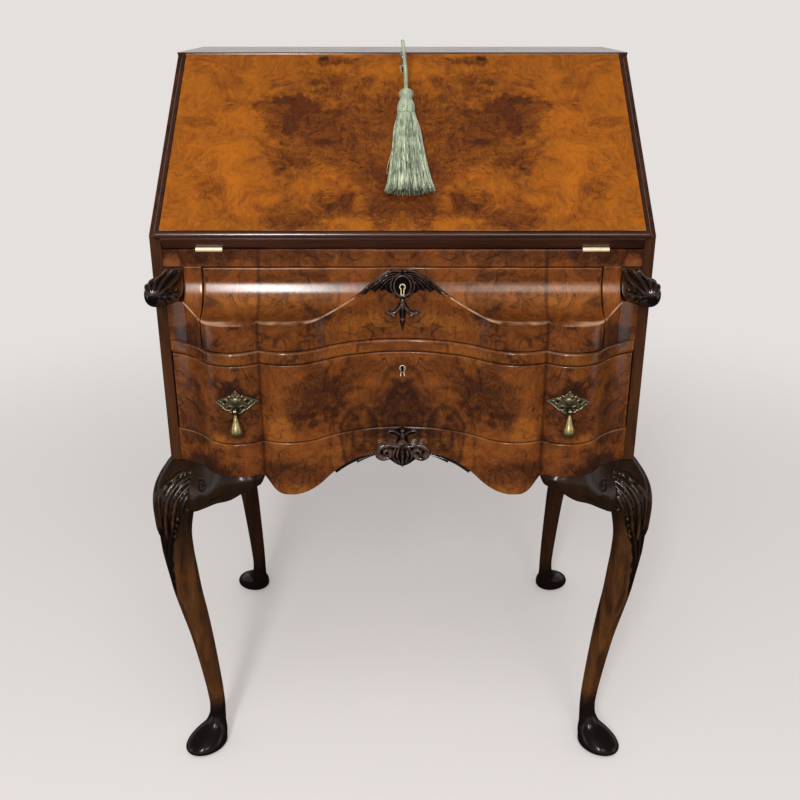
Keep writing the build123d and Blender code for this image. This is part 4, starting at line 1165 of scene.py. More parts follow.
# Fall: a board with a moulded edge round a burr panel

fallShape = {
    "width": 6.2 * mm, "drop": 4.5 * mm, "quirk": 1.2 * mm, "quirkDepth": 1.4 * mm, "rest": 1.6 * mm,
    "line": 3 * mm, "lineHalf": 0.6 * mm, "lineDepth": 0.5 * mm, "back": 16.4 * mm, "start": 4.5 * mm,
}
keyUp = 28.6 * mm   # how far below the fall's top edge the keyhole lies


# Points across, up the slope and out of it, taken to the closed fall; and from points of the scene back
# to their places up the slope and out of it.
def onFall(x, s, h):
    return np.stack([x, hingeY + s * slopeCos - h * slopeSin, hingeZ + s * slopeSin + h * slopeCos], -1)


def fromFall(points):
    y, z = points[:, 1] - hingeY, points[:, 2] - hingeZ
    return y * slopeCos + z * slopeSin, z * slopeCos - y * slopeSin


# The plane of a cut along the fall, this far out of it.
def fallCut(h):
    return onFall(0, 0, h), onFall(0, 0, 1) - onFall(0, 0, 0)


cadPoints = meshPoints(nodes["fall_board"])
fallHalf = np.abs(cadPoints[:, 0]).max()
cadUp, cadOut = fromFall(cadPoints)
fallLength, fallThick = cadUp.max(), cadOut.max()
keyAlong = fallLength - keyUp


# Height of the fall's face: flat in the panel, a narrow quirk round it, and a nosing that rises to the
# face's height and rolls down at the edge as a quarter of an oval; a fine line runs below the top edge.
def fallHeight(x, s):
    m = fallShape
    edge = np.minimum(fallHalf - np.abs(x), s - m["start"])
    roll = m["drop"] * (1 - rounded(1 - unit(edge / m["width"])))
    quirk = m["quirkDepth"] * unit(1 - np.abs(edge - m["width"] - m["quirk"] / 2) / (m["quirk"] / 2))
    line = m["lineDepth"] * unit(1 - np.abs(fallLength - s - m["line"]) / m["lineHalf"])
    return fallThick - roll - quirk - line


def fallFace():
    m = fallShape
    panel = m["width"] + m["quirk"]
    rim = np.append(np.linspace(0, m["width"], 9), (m["width"] + m["quirk"] / 2, panel, panel + m["rest"]))
    topRim = np.array([m["line"] + m["lineHalf"], m["line"], m["line"] - m["lineHalf"], 0])
    inner = spread([-fallHalf + rim[-1], 0, fallHalf - rim[-1]], 0.01)[1:-1]
    innerUp = spread([m["start"] + rim[-1], fallLength - topRim[0]], 0.01)[1:-1]
    x, s = np.meshgrid(
        np.concatenate([[-fallHalf], -fallHalf + rim, inner, fallHalf - rim[::-1], [fallHalf]]),
        np.concatenate([[m["start"]], m["start"] + rim, innerUp, fallLength - topRim, [fallLength]]),
    )
    h = fallHeight(x, s)
    setRim(h, m["back"])
    edgeMarks = (np.abs(s - m["start"] - panel) < 1e-6) * 0.9
    face = shapeObject("fall_face", onFall(x, s, h), [gridFaces(*x.shape), gridRim(x.shape)], 40, edgeMarks)
    cutter = keyholeCutter(0)
    points = meshPoints(cutter)
    meshPoints(cutter, onFall(points[:, 0], keyAlong + points[:, 2], frontPlane - points[:, 1]))
    cutAway(face, cutter)
    centres = np.zeros(len(face.data.polygons) * 3)
    face.data.polygons.foreach_get("center", centres)
    centres = centres.reshape(-1, 3)
    up, out = fromFall(centres)
    edge = np.minimum(fallHalf - np.abs(centres[:, 0]), up - m["start"])
    onPanel = (edge > panel) & (out > m["back"] + 2 * mm) & (fallLength - up > m["line"])
    place(face, "fall", "moulding fallBurr", "burr_walnut", "fall_board")
    face.data.polygons.foreach_set("material_index", onPanel.astype(np.int32))
    placeCad("fall_board", "fall", "moulding", "walnut", 0.4, fallCut(m["back"] - 0.05 * mm))


fallFace()
print("fall made")


# Legs

legShape = {
    "half": 0.0245, "footHalf": 0.033, "footHeight": 0.03, "frontInset": 0.028, "frontY": 0.01,
    "backInset": 0.037, "backSetback": 0.0225, "columns": 128, "spacing": 1.6 * mm,
    # height, outward and forward shift, half sizes, squareness, as shares
    "rows": (
        (1, 0.16, -0.57, 1, 1, 5), (0.985, 0.37, -0.24, 1.08, 1.08, 4.2),
        (0.963, 0.65, 0.16, 1.155, 1.155, 3.3), (0.938, 0.88, 0.51, 1.19, 1.185, 2.8),
        (0.909, 1, 0.8, 1.19, 1.17, 2.5), (0.876, 1.06, 0.98, 1.14, 1.11, 2.3),
        (0.838, 1.12, 1.1, 1.03, 1.02, 2.2), (0.794, 1.15, 1.15, 0.93, 0.94, 2.1),
        (0.727, 1.08, 1.08, 0.85, 0.86, 2.1), (0.655, 0.95, 0.95, 0.81, 0.82, 2.1),
        (0.58, 0.81, 0.81, 0.77, 0.78, 2.1), (0.5, 0.6, 0.6, 0.71, 0.72, 2.1),
        (0.417, 0.39, 0.39, 0.64, 0.64, 2), (0.334, 0.22, 0.22, 0.58, 0.58, 2),
        (0.25, 0.07, 0.07, 0.525, 0.53, 2), (0.177, -0.04, -0.04, 0.485, 0.485, 2),
        (0.121, -0.08, -0.07, 0.47, 0.47, 2), (0.088, -0.03, 0, 0.52, 0.51, 2),
    ),
    "backKnee": (-0.26, -0.24, -0.3, -0.36, -0.38, -0.34, -0.24, -0.1, 0.1, 0.25, 0.38, 0.42),
    "foot": (
        (1, 0.09, 0.15, 0.53, 0.48), (0.66, 0.29, 0.4, 0.83, 0.69), (0.36, 0.42, 0.58, 0.97, 0.8),
        (0.14, 0.44, 0.61, 0.97, 0.8), (0, 0.44, 0.61, 0.8, 0.66),
    ),
    # the rounded edge under the foot: heights in millimetres and shares of the section there
    "sole": ((0, 0.4, 1.2, 2.5, 4), (0.94, 0.962, 0.98, 0.993, 1)),
}


# The leg's sections at heights: outward and forward shift of the middle, half length on the diagonal,
# half width across it and squareness.
def legSections(back, z):
    rows = []
    h = legShape["half"]
    for i, (up, out, ahead, long, wide, power) in enumerate(legShape["rows"]):
        if back and i < len(legShape["backKnee"]):
            ahead = legShape["backKnee"][i]
        rows.append((up * caseBottom, out * h, ahead * h, long * h, wide * h, power))
    h = legShape["footHalf"]
    for up, out, ahead, long, wide in legShape["foot"]:
        rows.append((up * legShape["footHeight"], out * h, ahead * h, long * h, wide * h, 2))
    return smoothTable(z, rows[::-1])


kneeCarving = {
    "top": 0.474, "tip": 0.272, "sink": 1.9 * mm, "groove": 1.2 * mm, "least": 0.2 * mm,
    # ribs: shares of the way down, degrees round from the knee's ridge, half width and height in mm
    "ribs": (
        ((0.01, 0.03, 0.07, 0.13, 0.22, 0.33, 0.42), (92, 56, 30, 14, 9, 8, 8), 2.2, 1.7),
        ((0.03, 0.07, 0.12, 0.2, 0.3, 0.4, 0.49), (95, 62, 46, 35, 31, 30, 28), 2.6, 1.9),
        ((0.07, 0.11, 0.16, 0.24, 0.33, 0.42), (100, 82, 67, 57, 53, 51), 2.4, 1.8),
        ((0.12, 0.17, 0.23, 0.31), (104, 90, 80, 76), 1.9, 1.6),
    ),
    # beads: share of the way down, degrees, radius in millimetres
    "beads": ((0.27, 96, 2.2), (0.32, 68, 2.4), (0.365, 65, 2.4), (0.41, 62, 2.2), (0.455, 58, 1.9)),
    # the leaf below: shares of the way down and its half width there in degrees, scallops and flutes
    "edge": ((0.1, 0.3, 0.45, 0.64, 0.73, 0.86, 1), (100, 85, 64, 40, 30, 18, 3)),
    "scallop": (0.16, 30), "flutes": 8, "flow": 9, "leafUp": 1.1 * mm, "leafDown": 1.3 * mm,
    "widest": math.radians(102),
}


# Carving on a knee: ribs that sweep from beside the knee to its ridge and down, beads, and a fluted leaf
# down the shin, with a groove beside each; a is the angle from the ridge, r the section's radius. Gives
# the carving's own height, for the material, and the height on the surface, where the whole knee is cut
# in by "sink" so that the ribs stay inside the solid.
def kneeHeight(a, z, r):
    k = kneeCarving
    run = k["top"] - k["tip"]
    t = (k["top"] - z) / run
    a = np.abs(a)
    total = np.zeros(a.shape)
    near = np.zeros(a.shape)
    for downs, degrees, width, height in k["ribs"]:
        at = np.radians(smoothLine(np.clip(t, downs[0], downs[-1]), downs, degrees))
        lean = np.gradient(at, z[:, 0], axis=0) * r
        away = np.abs(a - at) * r / np.sqrt(1 + lean ** 2)
        here = unit((t - downs[0]) / 0.02) * unit((downs[-1] - t) / 0.06)
        width = width * mm * (0.5 + 0.5 * here)
        total = np.maximum(total, here * height * mm * rounded(away / width))
        near = np.maximum(near, here * unit(2 - away / width))
    for down, degrees, size in k["beads"]:
        away = np.hypot((a - math.radians(degrees)) * r, (t - down) * run) / (size * mm)
        total = np.maximum(total, size * mm * rounded(away))
        near = np.maximum(near, unit(2 - away))
    edge = np.radians(np.interp(t, *k["edge"]))
    deep, often = k["scallop"]
    scallop = edge * (1 - deep + deep * np.abs(np.sin(t * often)))
    leaf = unit((scallop - a) * r / k["groove"]) * unit((t - 0.3) / 0.08) * unit((1 - t) / 0.05)
    flutes = unit(2.4 * np.abs(np.cos(a / np.maximum(edge, 0.05) * k["flutes"] + t * k["flow"])) - 1)
    total = np.where(total > k["least"], total, leaf * (k["leafUp"] * flutes - k["leafDown"]))
    total = total - k["groove"] * unit(near) * (total < k["least"])
    reach = unit((k["widest"] - a) / 0.5) * unit((t + 0.02) / 0.06) * unit((0.62 - t) / 0.12)
    return total, total - k["sink"] * reach


# A leg: sections stacked up it, each point at the angle round the middle and the radius that a rounded
# square has there; turned to the diagonal where the section is round, and kept inside the solid's box.
def legObject(name, node, side, back):
    soleUp, soleShare = legShape["sole"]
    soleUp = np.array(soleUp) * mm
    z = np.concatenate([soleUp[:-1], spread([soleUp[-1], caseBottom], legShape["spacing"])])
    out, ahead, long, wide, power = (values[:, None] for values in legSections(back, z))
    z = z[:, None]
    shrink = np.interp(z, soleUp, soleShare)
    lead = 1 if back else -1           # the way that the knee points, along Y
    diagonal = lead * math.pi / 4
    angle = np.broadcast_to(ringAngles(legShape["columns"]), (len(z), legShape["columns"]))

    def radius(tilt):
        c, s = np.abs(np.cos(angle - tilt)), np.abs(np.sin(angle - tilt))
        return ((c / (long * shrink)) ** power + (s / (wide * shrink)) ** power) ** (-1 / power)

    boxy = unit((power - 2.12) / 0.3)
    r = boxy * radius(0) + (1 - boxy) * radius(diagonal)
    z = np.broadcast_to(z, r.shape)
    height = carve = np.zeros(r.shape)
    if not back:
        carve, height = kneeHeight(nearestTurn(angle - diagonal), z, r)
    x0 = caseHalf - legShape["backInset" if back else "frontInset"]
    y0 = high("back_panel")[1] - legShape["backSetback"] if back else frontPlane + legShape["frontY"]
    x = x0 + out + (r + height) * np.cos(angle)
    y = y0 + lead * ahead + (r + height) * np.sin(angle)
    points = np.stack([side * x, y, z], -1)
    points[..., :2] = np.clip(points[..., :2], low(node)[:2], high(node)[:2])
    return stackedObject(name, points, 50, carve)


for side, word in ((1, "right"), (-1, "left")):
    for node, ending, back in (("front_leg_", "_carved", False), ("back_leg_", "_shaped", True)):
        leg = legObject(node + word + ending, node + word, side, back)
        place(leg, "case", "leg", "dark_walnut", node + word)
print("legs made")


# Brackets beside the front knees

bracketShape = {
    "drop": 0.06, "thick": 0.024, "step": 4 * mm, "edge": 2.6 * mm, "levels": (0, 0.3, 0.6, 1),
    "spacing": 0.011, "rowCount": 44,
    # share of the way from the groove to the knee, forward reaches at the levels as shares of the
    # lobes', and the share of the drop
    "rows": (
        (-0.03, 0.72, 0.74, 0.74, 0.72, 0.09), (0, 0.77, 0.8, 0.8, 0.77, 0.2),
        (0.1, 0.88, 0.93, 0.93, 0.9, 0.29), (0.26, 0.95, 1, 1.01, 0.97, 0.4),
        (0.44, 0.91, 0.98, 1, 0.96, 0.58), (0.67, 0.69, 0.82, 0.9, 0.88, 0.72),
        (0.84, 0.34, 0.58, 0.76, 0.78, 0.88), (1, 0.11, 0.4, 0.63, 0.7, 1),
        (1.18, 0, 0.2, 0.4, 0.5, 1),
    ),
    # cut lines in millimetres: a scroll's centre, radius, start in degrees and turns, and a stroke
    "scroll": {"centre": (266.5, 457.5), "radius": 6.6, "start": 60, "turns": 1.35, "inner": 0.25},
    "stroke": (236.5, 451.5, 250, 444, 261, 433),
}


# Points of a spiral that winds inwards round a centre: the radius falls evenly to the inner share.
def spiral(centre, radius, start, turns, inner, count=22):
    turn = math.radians(start) + np.linspace(0, fullTurn * turns, count)
    r = radius * mm * np.linspace(1, inner, count)
    return np.stack([centre[0] * mm + r * np.cos(turn), centre[1] * mm + r * np.sin(turn)], -1)


# A bracket: upright columns of points from the groove to the knee, bellied forward between its levels,
# with a round lower edge, closed by its back; the scroll and the stroke are cut into its face.
def frontBracket(side):
    b = bracketShape
    tip = grooveX + b["step"]
    root = caseHalf - legShape["frontInset"] - 0.2 * legShape["half"]
    along = spread([b["rows"][0][0], 0, b["rows"][-1][0]], b["spacing"])
    *reaches, drop = smoothTable(along, b["rows"])
    reaches = np.stack(reaches, -1) * serpentine["reach"]
    drop = drop * b["drop"]
    down = np.linspace(0, 1, b["rowCount"])
    f = np.stack([smoothLine(down, b["levels"], one) for one in reaches])
    edge = np.minimum(b["edge"], 0.4 * drop)[:, None]
    z = caseBottom - down * (drop[:, None] - edge)
    x = np.broadcast_to((tip + along * (root - tip))[:, None], z.shape)
    cut = rib(x, z, spiral(**b["scroll"]), np.array((1.2, 1.2, 0.72)) * mm, 1.2 * mm, 60)
    cut = cut + rib(x, z, pairs(*b["stroke"]), np.array((0.4, 1.2, 0.5)) * mm, 0.8 * mm)
    turn = np.linspace(0, math.pi / 2, 6)[1:]
    lowF = f[:, -1:] - edge * (1 - np.cos(turn))
    lowZ = z[:, -1:] - edge * np.sin(turn)
    backF = np.stack([lowF[:, -1] - b["thick"], f[:, 0] - b["thick"]], -1)
    backZ = np.stack([lowZ[:, -1], np.full(len(along), caseBottom)], -1)
    f = np.concatenate([f - cut, lowF, backF], 1)
    z = np.concatenate([z, lowZ, backZ], 1)
    carve = np.concatenate([-cut, np.zeros((len(along), z.shape[1] - cut.shape[1]))], 1)
    return stackedObject("bracket", onFront(side * np.broadcast_to(x[:, :1], z.shape), f, z), 50, carve)


brackets = joined("front_brackets_carved", [frontBracket(1), frontBracket(-1)])
place(brackets, "case", "leg", "dark_walnut", "front_brackets")
print("brackets made")


# Lopers: plain bars with carved heads that turn outwards

loperHead = {
    "reach": 0.062, "gap": 0.6 * mm, "width": 0.024, "height": 0.041, "play": 0.5 * mm, "columns": 120,
    "nose": 0.7, "below": 0.3 * mm, "bend": 1.4,
    # share of the reach, shift outwards and up, half width and half height as shares, squareness
    "rows": (
        (0, 0, 0, 0.5, 0.485, 4), (0.18, 0.04, -0.01, 0.5, 0.47, 3.2),
        (0.42, 0.19, -0.02, 0.53, 0.44, 2.8), (0.66, 0.42, -0.02, 0.58, 0.41, 2.5),
        (0.86, 0.56, -0.01, 0.54, 0.37, 2.3), (1, 0.61, -0.01, 0.5, 0.35, 2.2),
    ),
    # ribs: degrees round from the outer side at the root and at the end, half width, height in mm
    "ribs": (
        (14, 60, 2.2, 2.2), (38, 84, 2.2, 2.6), (64, 108, 2.2, 2.8), (90, 134, 2.2, 2.6),
        (118, 160, 2.2, 2.2),
    ),
    # bosses: share of the reach, degrees, radius, height in mm
    "bosses": ((0.62, 200, 5, 3.4), (0.86, 236, 6.2, 2.6), (0.42, 204, 3.4, 1.8), (0.84, 190, 3.4, 2.2)),
}


# Ribs that wind round the head, their angle growing as the reach's share to the power "bend", and bosses
# below them, with a groove beside each.
def loperCarving(u, angle, r):
    h = loperHead
    total = np.zeros(r.shape)
    near = np.zeros(r.shape)
    fade = unit((u - 0.03) / 0.12) * unit(r / 0.006)
    for start, end, half, height in h["ribs"]:
        at = np.radians(start + (end - start) * u ** h["bend"])
        lean = math.radians(end - start) * h["bend"] * u ** (h["bend"] - 1) * r / h["reach"]
        away = np.abs(nearestTurn(angle - at)) * r / np.sqrt(1 + lean ** 2) / (half * mm)
        total = np.maximum(total, fade * height * mm * rounded(away))
        near = np.maximum(near, fade * unit(2.4 - away))
    for at, degrees, radius, height in h["bosses"]:
        away = np.hypot(nearestTurn(angle - math.radians(degrees)) * r, (u - at) * h["reach"])
        away = away / (radius * mm)
        total = np.maximum(total, height * mm * rounded(away))
        near = np.maximum(near, unit(2.2 - away))
    return total - 1.6 * mm * unit(near) * (total < 0.3 * mm)


# A head: rounded squares stacked forward, shifted outwards, closed past the nose by a round cap and
# clipped below the bar's top, so that the open fall lies clear.
def loperHeadObject(name, side):
    h = loperHead
    nose = h["nose"]
    bend = np.sin(np.linspace(0, math.pi / 2, 40)) * (1 - nose) + nose
    u = np.concatenate([np.linspace(0, nose, 56), bend[1:]])
    shift, rise, wide, tall, power = (values[:, None] for values in smoothTable(u, h["rows"]))
    u = u[:, None]
    cap = unit(1 - (np.clip(u - nose, 0, None) / (1 - nose)) ** 2.4) ** (1 / 2.1)
    angle = np.broadcast_to(ringAngles(h["columns"]), (len(u), h["columns"]))
    c, s = np.abs(np.cos(angle)) / (wide * h["width"]), np.abs(np.sin(angle)) / (tall * h["height"])
    r = (c ** power + s ** power) ** (-1 / power) * cap
    height = loperCarving(u, angle, r)
    grown = r + height * cap
    middleX = high("loper_partitions")[0] + h["play"] + h["width"] / 2
    middleZ = (low(name)[2] + high(name)[2]) / 2
    x = middleX + shift * h["width"] + grown * np.cos(angle)
    z = middleZ + rise * h["height"] + grown * np.sin(angle)
    z = np.minimum(z, high(name)[2] - h["below"])
    f = np.broadcast_to(h["gap"] + u * h["reach"], x.shape)
    faces = [gridFaces(*x.shape, roundColumns=True), np.arange(h["columns"])[None, :]]
    return shapeObject(name + "_head", onFront(side * x, f, z), faces, 60, height)


for side, name in ((1, "loper_right"), (-1, "loper_left")):
    place(loperHeadObject(name, side), name, "loper", "ebonised_carving", name)
    placeCad(name, name, "side", "walnut", 0.8, ((0, frontPlane - loperHead["gap"], 0), (0, -1, 0)))
print("lopers made")


# Carvings in the middle of the front

carvedCell = 0.5 * mm


def mirroredOutline(half):
    return np.concatenate([half, (half * (-1, 1))[::-1]])


# Highest of several bosses, each a row of its place, times a scale and moved to an origin, its radius
# and its height in millimetres.
def bosses(x, z, rows, scale, origin):
    total = np.zeros(x.shape)
    for across, up, radius, height in rows:
        centre = np.array((across, up)) * scale + origin
        total = np.maximum(total, boss(x, z, centre, radius * mm, height * mm))
    return total


# In millimetres: the spray's outline and ribs from its top edge, the fleur's from the middle of its
# band, and the half widths of the stem.
friezeLook = {
    "top": 2.3 * mm, "fleur": 0.036, "base": 1 * mm, "back": 2 * mm, "half": 0.0625,
    "spray": pairs(
        0, 0, 16, 0, 29, -8, 40, -16.5, 51, -25.5, 60.5, -32.5, 52.5, -30, 45.5, -29, 40, -24.5, 34.5, -28.5,
        30, -23.5, 26.5, -27.5, 21, -25, 17, -30, 0, -33,
    ),
    "ribs": (
        ((2, -1.2, 14, -1.2, 27, -9.2, 40, -17.6, 51, -26.5, 59.5, -32), (1.5, 1.3, 0.8), 5.2),
        ((8, -4, 18, -5.8, 29, -13.5, 40, -21.5, 49, -28.5), (0.9, 1.1, 0.6), 5),
        ((9, -6.5, 19, -9.8, 29, -17.5, 37, -27.5), (0.9, 1.2, 0.6), 4.8),
        ((9.5, -8.8, 18, -12.8, 25.2, -20, 29, -27.5), (0.9, 1.1, 0.6), 4.4),
        ((3, -4, 10, -8.5, 14.5, -16.5, 14, -25, 9, -31.8), (1.2, 1.4, 1), 5.6),
        ((16.5, -16.5, 19.8, -21.5, 20.5, -27.5), (0.8, 1, 0.6), 3.8),
    ),
    "cartouche": {"half": (15, 16), "ring": (10.8, 13.5), "up": 1, "share": 0.16, "height": 4.8},
    "curl": (1.5, 13, 4, 8.5, 9, 3, 15, 1), "curlHalf": 3.3,
    "balls": ((17.8, 2.2, 3.4, 6), (11.2, -1.2, 3.6, 5.6)),
    "beads": ((0, 18.5, 3.4, 5.2), (0, -6.5, 3.2, 5.8)),
    "stem": (0.8, 3, 4.2, 3, 4.5),
}


# The spray, cartouche, fleur and tail of the upper drawer: the outline is the nearest of their edges,
# the height is the highest of their ribs and bosses.
def friezeCarving():
    c, eye = friezeLook, upperEye
    top = high("upper_drawer_front")[2] - c["top"]
    tail = low("frieze_carving")[2]
    fleur = eye - c["fleur"]
    cartouche = c["cartouche"]
    wide, tall = np.array(cartouche["half"]) * mm
    ringWide, ringTall = np.array(cartouche["ring"]) * mm

    def outline(x, z):
        side = np.abs(x)
        d = outlineDistance(x, z, mirroredOutline(c["spray"]) + (0, top))
        d = np.minimum(d, np.hypot(x / wide, (z - eye) / tall) * wide - wide)
        stemUp = (tail, fleur - 0.012, fleur, fleur + 0.014, eye)
        stem = np.interp(z, stemUp, np.array(c["stem"]) * mm)
        d = np.minimum(d, np.maximum(side - stem, np.maximum(tail - z, z - eye)))
        circles = [(*at, c["curlHalf"]) for at in smoothPath(pairs(*c["curl"], scale=1), 12)]
        for across, up, radius in circles + [ball[:3] for ball in c["balls"]]:
            d = np.minimum(d, np.hypot(side - across * mm, z - fleur - up * mm) - radius * mm)
        return d

    def height(x, z):
        side = np.abs(x)
        h = ribs(side, z, c["ribs"], mm, (0, top))
        fleurRibs = ((c["curl"], (1.8, 3, 3), 5), ((0, 16, 0, 6), (3.6, 1.6), 5))
        h = np.maximum(h, ribs(side, z, fleurRibs, mm, (0, fleur)))
        h = np.maximum(h, bosses(side, z, c["balls"] + c["beads"], mm, (0, fleur)))
        tailLine = ((0, fleur + 4 * mm), (0, tail + 2 * mm))
        h = np.maximum(h, rib(side, z, tailLine, np.array((1.8, 2.2, 1)) * mm, 3.6 * mm))
        oval = np.hypot(side / ringWide, (z - eye - cartouche["up"] * mm) / ringTall)
        return c["base"] + np.maximum(h, cartouche["height"] * mm * rounded((oval - 1) / cartouche["share"]))

    piece = carvedPiece(
        "frieze_carved_leaves", np.arange(-c["half"], c["half"] + 0.1 * mm, carvedCell),
        np.arange(tail - mm, top + 2 * mm, carvedCell), outline, height, mouldedForward,
        lambda x, z: mouldedForward(x, z) - c["back"], onFront,
    )
    cutAway(piece, keyholeCutter(eye))
    place(piece, "upper_drawer", "carving", "ebonised_carving", "frieze_carving")
    thread = softened("lower_escutcheon", 0.2 * mm)
    meshPoints(thread, meshPoints(thread) + (0, -4.5 * mm, eye - lowerEye))
    thread.name = "upper_keyhole_thread"
    place(thread, "upper_drawer", "thread", "brass")


# The shell of the apron, in shares of its half width and its drop; half widths and heights in mm.
shellLook = {
    "half": 0.0365, "drop": 0.058, "base": 1.2 * mm, "proud": 0.6 * mm, "back": 10 * mm,
    "outline": pairs(
        0, 0, 0.1, 0.015, 0.3, 0.045, 0.5, 0.06, 0.56, 0.1, 0.5, 0.165, 0.34, 0.17, 0.2, 0.2,
        0.19, 0.28, 0.26, 0.37, 0.44, 0.375, 0.7, 0.355, 0.9, 0.43, 1, 0.57, 0.97, 0.69, 0.84, 0.79,
        0.66, 0.82, 0.52, 0.8, 0.42, 0.84, 0.24, 0.93, 0.03, 0.99, 0, 0.99, scale=1,
    ),
    "volute": ((
        0.16, 0.43, 0.38, 0.41, 0.66, 0.4, 0.88, 0.5, 0.9, 0.64, 0.72, 0.73, 0.5, 0.7,
        0.42, 0.6, 0.52, 0.52, 0.66, 0.55, 0.66, 0.61,
    ), (3.2, 5, 4.6, 3.4, 2), 9),
    "ribs": (
        ((0, 0.36, 0, 0.95), (2.8, 2.6, 1.2), 8.5),
        ((0.06, 0.36, 0.16, 0.55, 0.2, 0.72, 0.09, 0.9), (2, 2.2, 1), 7.5),
        ((0.12, 0.36, 0.28, 0.55, 0.34, 0.72, 0.19, 0.88), (1.8, 2, 1), 6.2),
        ((0, 0.05, 0, 0.34), (1.6, 3, 4.2), 5),
        ((0.1, 0.16, 0.24, 0.09, 0.42, 0.065, 0.53, 0.1, 0.44, 0.145), (1.8, 2, 1.4), 4),
    ),
    "pearls": ((0, 0.06, 3.4, 7), (0.09, 0.36, 2.8, 7)),
}


def apronShell():
    s = shellLook
    top = high("apron")[2]
    size = np.array((s["half"], -s["drop"]))
    outline = mirroredOutline(smoothPath(s["outline"] * size, 120)) + (0, top)

    def height(x, z):
        side = np.abs(x)
        h = np.maximum(bosses(side, z, s["pearls"], size, (0, top)), ribs(side, z, s["ribs"], size, (0, top)))
        return s["base"] + np.maximum(h, ribs(side, z, [s["volute"]], size, (0, top), 40))

    piece = carvedPiece(
        "apron_carved_shell", np.arange(-0.038, 0.0381, carvedCell),
        np.arange(top - s["drop"] - mm, top + 0.5 * mm, carvedCell),
        lambda x, z: outlineDistance(x, z, outline), height, lambda x, z: serpentineForward(x) + s["proud"],
        lambda x, z: serpentineForward(x) - s["back"], onFront,
    )
    place(piece, "case", "carving", "ebonised_carving", "apron_shell")


# Leaves under the apron: from, to, depth at the thick end and at the tip.
leafLook = {
    "leaves": ((0.0345, 0.0625, 0.0028, 0.0078), (0.059, 0.09, 0.0044, 0.005)),
    "back": 0.015, "ridge": 1.2 * mm, "step": 0.8 * mm, "lean": mm, "overlap": 1.6 * mm,
}


# A leaf: columns of points along the apron's edge, with two ridges as the size of a sine across it.
def leafStrip(side, start, end, thin, thick):
    k = leafLook
    u = np.linspace(0, 1, 50)
    x = start + (end - start) * u
    deep = (thin + (thick - thin) * u) * np.clip((1 - u) / 0.06, 0.12, 1)
    across = np.linspace(0, 1, 14)
    face = k["ridge"] * np.abs(np.sin(across * fullTurn)) - k["step"] - k["lean"] * across
    z = apronEdge(x)[:, None] + k["overlap"] - across * (deep[:, None] + k["overlap"])
    f = serpentineForward(x)[:, None] + face
    carve = np.pad(np.broadcast_to(face + k["step"], f.shape), ((0, 0), (0, 2)))
    f = np.concatenate([f, f[:, -1:] - k["back"], f[:, :1] - k["back"]], 1)
    z = np.concatenate([z, z[:, -1:], z[:, :1]], 1)
    return stackedObject("leaf", onFront(side * np.broadcast_to(x[:, None], z.shape), f, z), 40, carve)


friezeCarving()
apronShell()
leaves = [leafStrip(side, *leaf) for side in (1, -1) for leaf in leafLook["leaves"]]
place(joined("apron_carved_leaves", leaves), "case", "carving", "ebonised_carving", "apron_leaves")
print("carvings made")


# Handles: pierced plates bent to the lobes, forks and pear drops

# Outline, holes and scrolls in shares of the half width and half height.
handle = {
    "share": 0.7054, "rise": 0.057, "half": 0.028, "tall": 0.018, "thick": 1.6 * mm, "below": 8 * mm,
    "outline": pairs(
        0, 1, 0.07, 0.78, 0.17, 0.66, 0.23, 0.5, 0.33, 0.6, 0.37, 0.44, 0.5, 0.4, 0.66, 0.28,
        0.82, 0.12, 1, -0.05, 0.84, -0.22, 0.68, -0.34, 0.52, -0.56, 0.36, -0.66, 0.22, -0.8,
        0.1, -0.86, 0, -1,
        scale=1,
    ),
    "holes": ((0.5, 0.06), (0.3, -0.4)), "hole": 2.1 * mm, "cell": 0.4 * mm,
    "scrolls": ((0.5, 0.06, 4.6), (0.3, -0.4, 4), (0.14, 0.36, 3.6), (0.74, -0.06, 3)),
    # radius of the drop down its length, as shares
    "pear": (
        (0.04, 0.3), (0.07, 0.3), (0.1, 0.2), (0.16, 0.23), (0.26, 0.36), (0.46, 0.62), (0.68, 0.94),
        (0.8, 1), (0.9, 0.9), (1, 0.74),
    ),
    "pearEnd": 0.88, "neck": 3 * mm, "forkCut": 56.4 * mm,
}
handleX = handle["share"] * serpentine["half"]
handleZ = low("lower_drawer_front")[2] + handle["rise"]


# A plate: pierced by round holes, with a raised line inside its edge, rings round the holes, a boss and a
# small leaf.
def handlePlate(side):
    h = handle
    half, tall = h["half"], h["tall"]
    outline = mirroredOutline(h["outline"] * (half, tall)) + (handleX, handleZ)

    def distance(x, z):
        d = outlineDistance(x, z, outline)
        for across, up in h["holes"]:
            away = np.hypot(np.abs(x - handleX) - across * half, z - handleZ - up * tall)
            d = np.maximum(d, h["hole"] - away)
        return d

    def height(x, z):
        total = 0.7 * mm * unit(1 - np.abs(outlineDistance(x, z, outline) + 1.1 * mm) / (0.6 * mm))
        x, z = np.abs(x - handleX), z - handleZ
        for across, up, radius in h["scrolls"]:
            away = np.hypot(x - across * half, z - up * tall)
            total = np.maximum(total, 0.8 * mm * unit(1 - np.abs(away - 0.8 * radius * mm) / (0.7 * mm)))
        total = np.maximum(total, boss(x, z, (0, 0.1 * tall), 5.2 * mm, 1.6 * mm))
        leaf = rib(x, z, pairs(0, 10, 3, 15.5), (1.2 * mm, 0.6 * mm), 1 * mm)
        return h["thick"] + np.maximum(total, leaf)

    return carvedPiece(
        "plate", np.arange(handleX - half - mm, handleX + half + mm, h["cell"]),
        np.arange(handleZ - tall - mm, handleZ + tall + mm, h["cell"]), distance, height,
        serpentineForward, serpentineForward, onSide(side),
    )


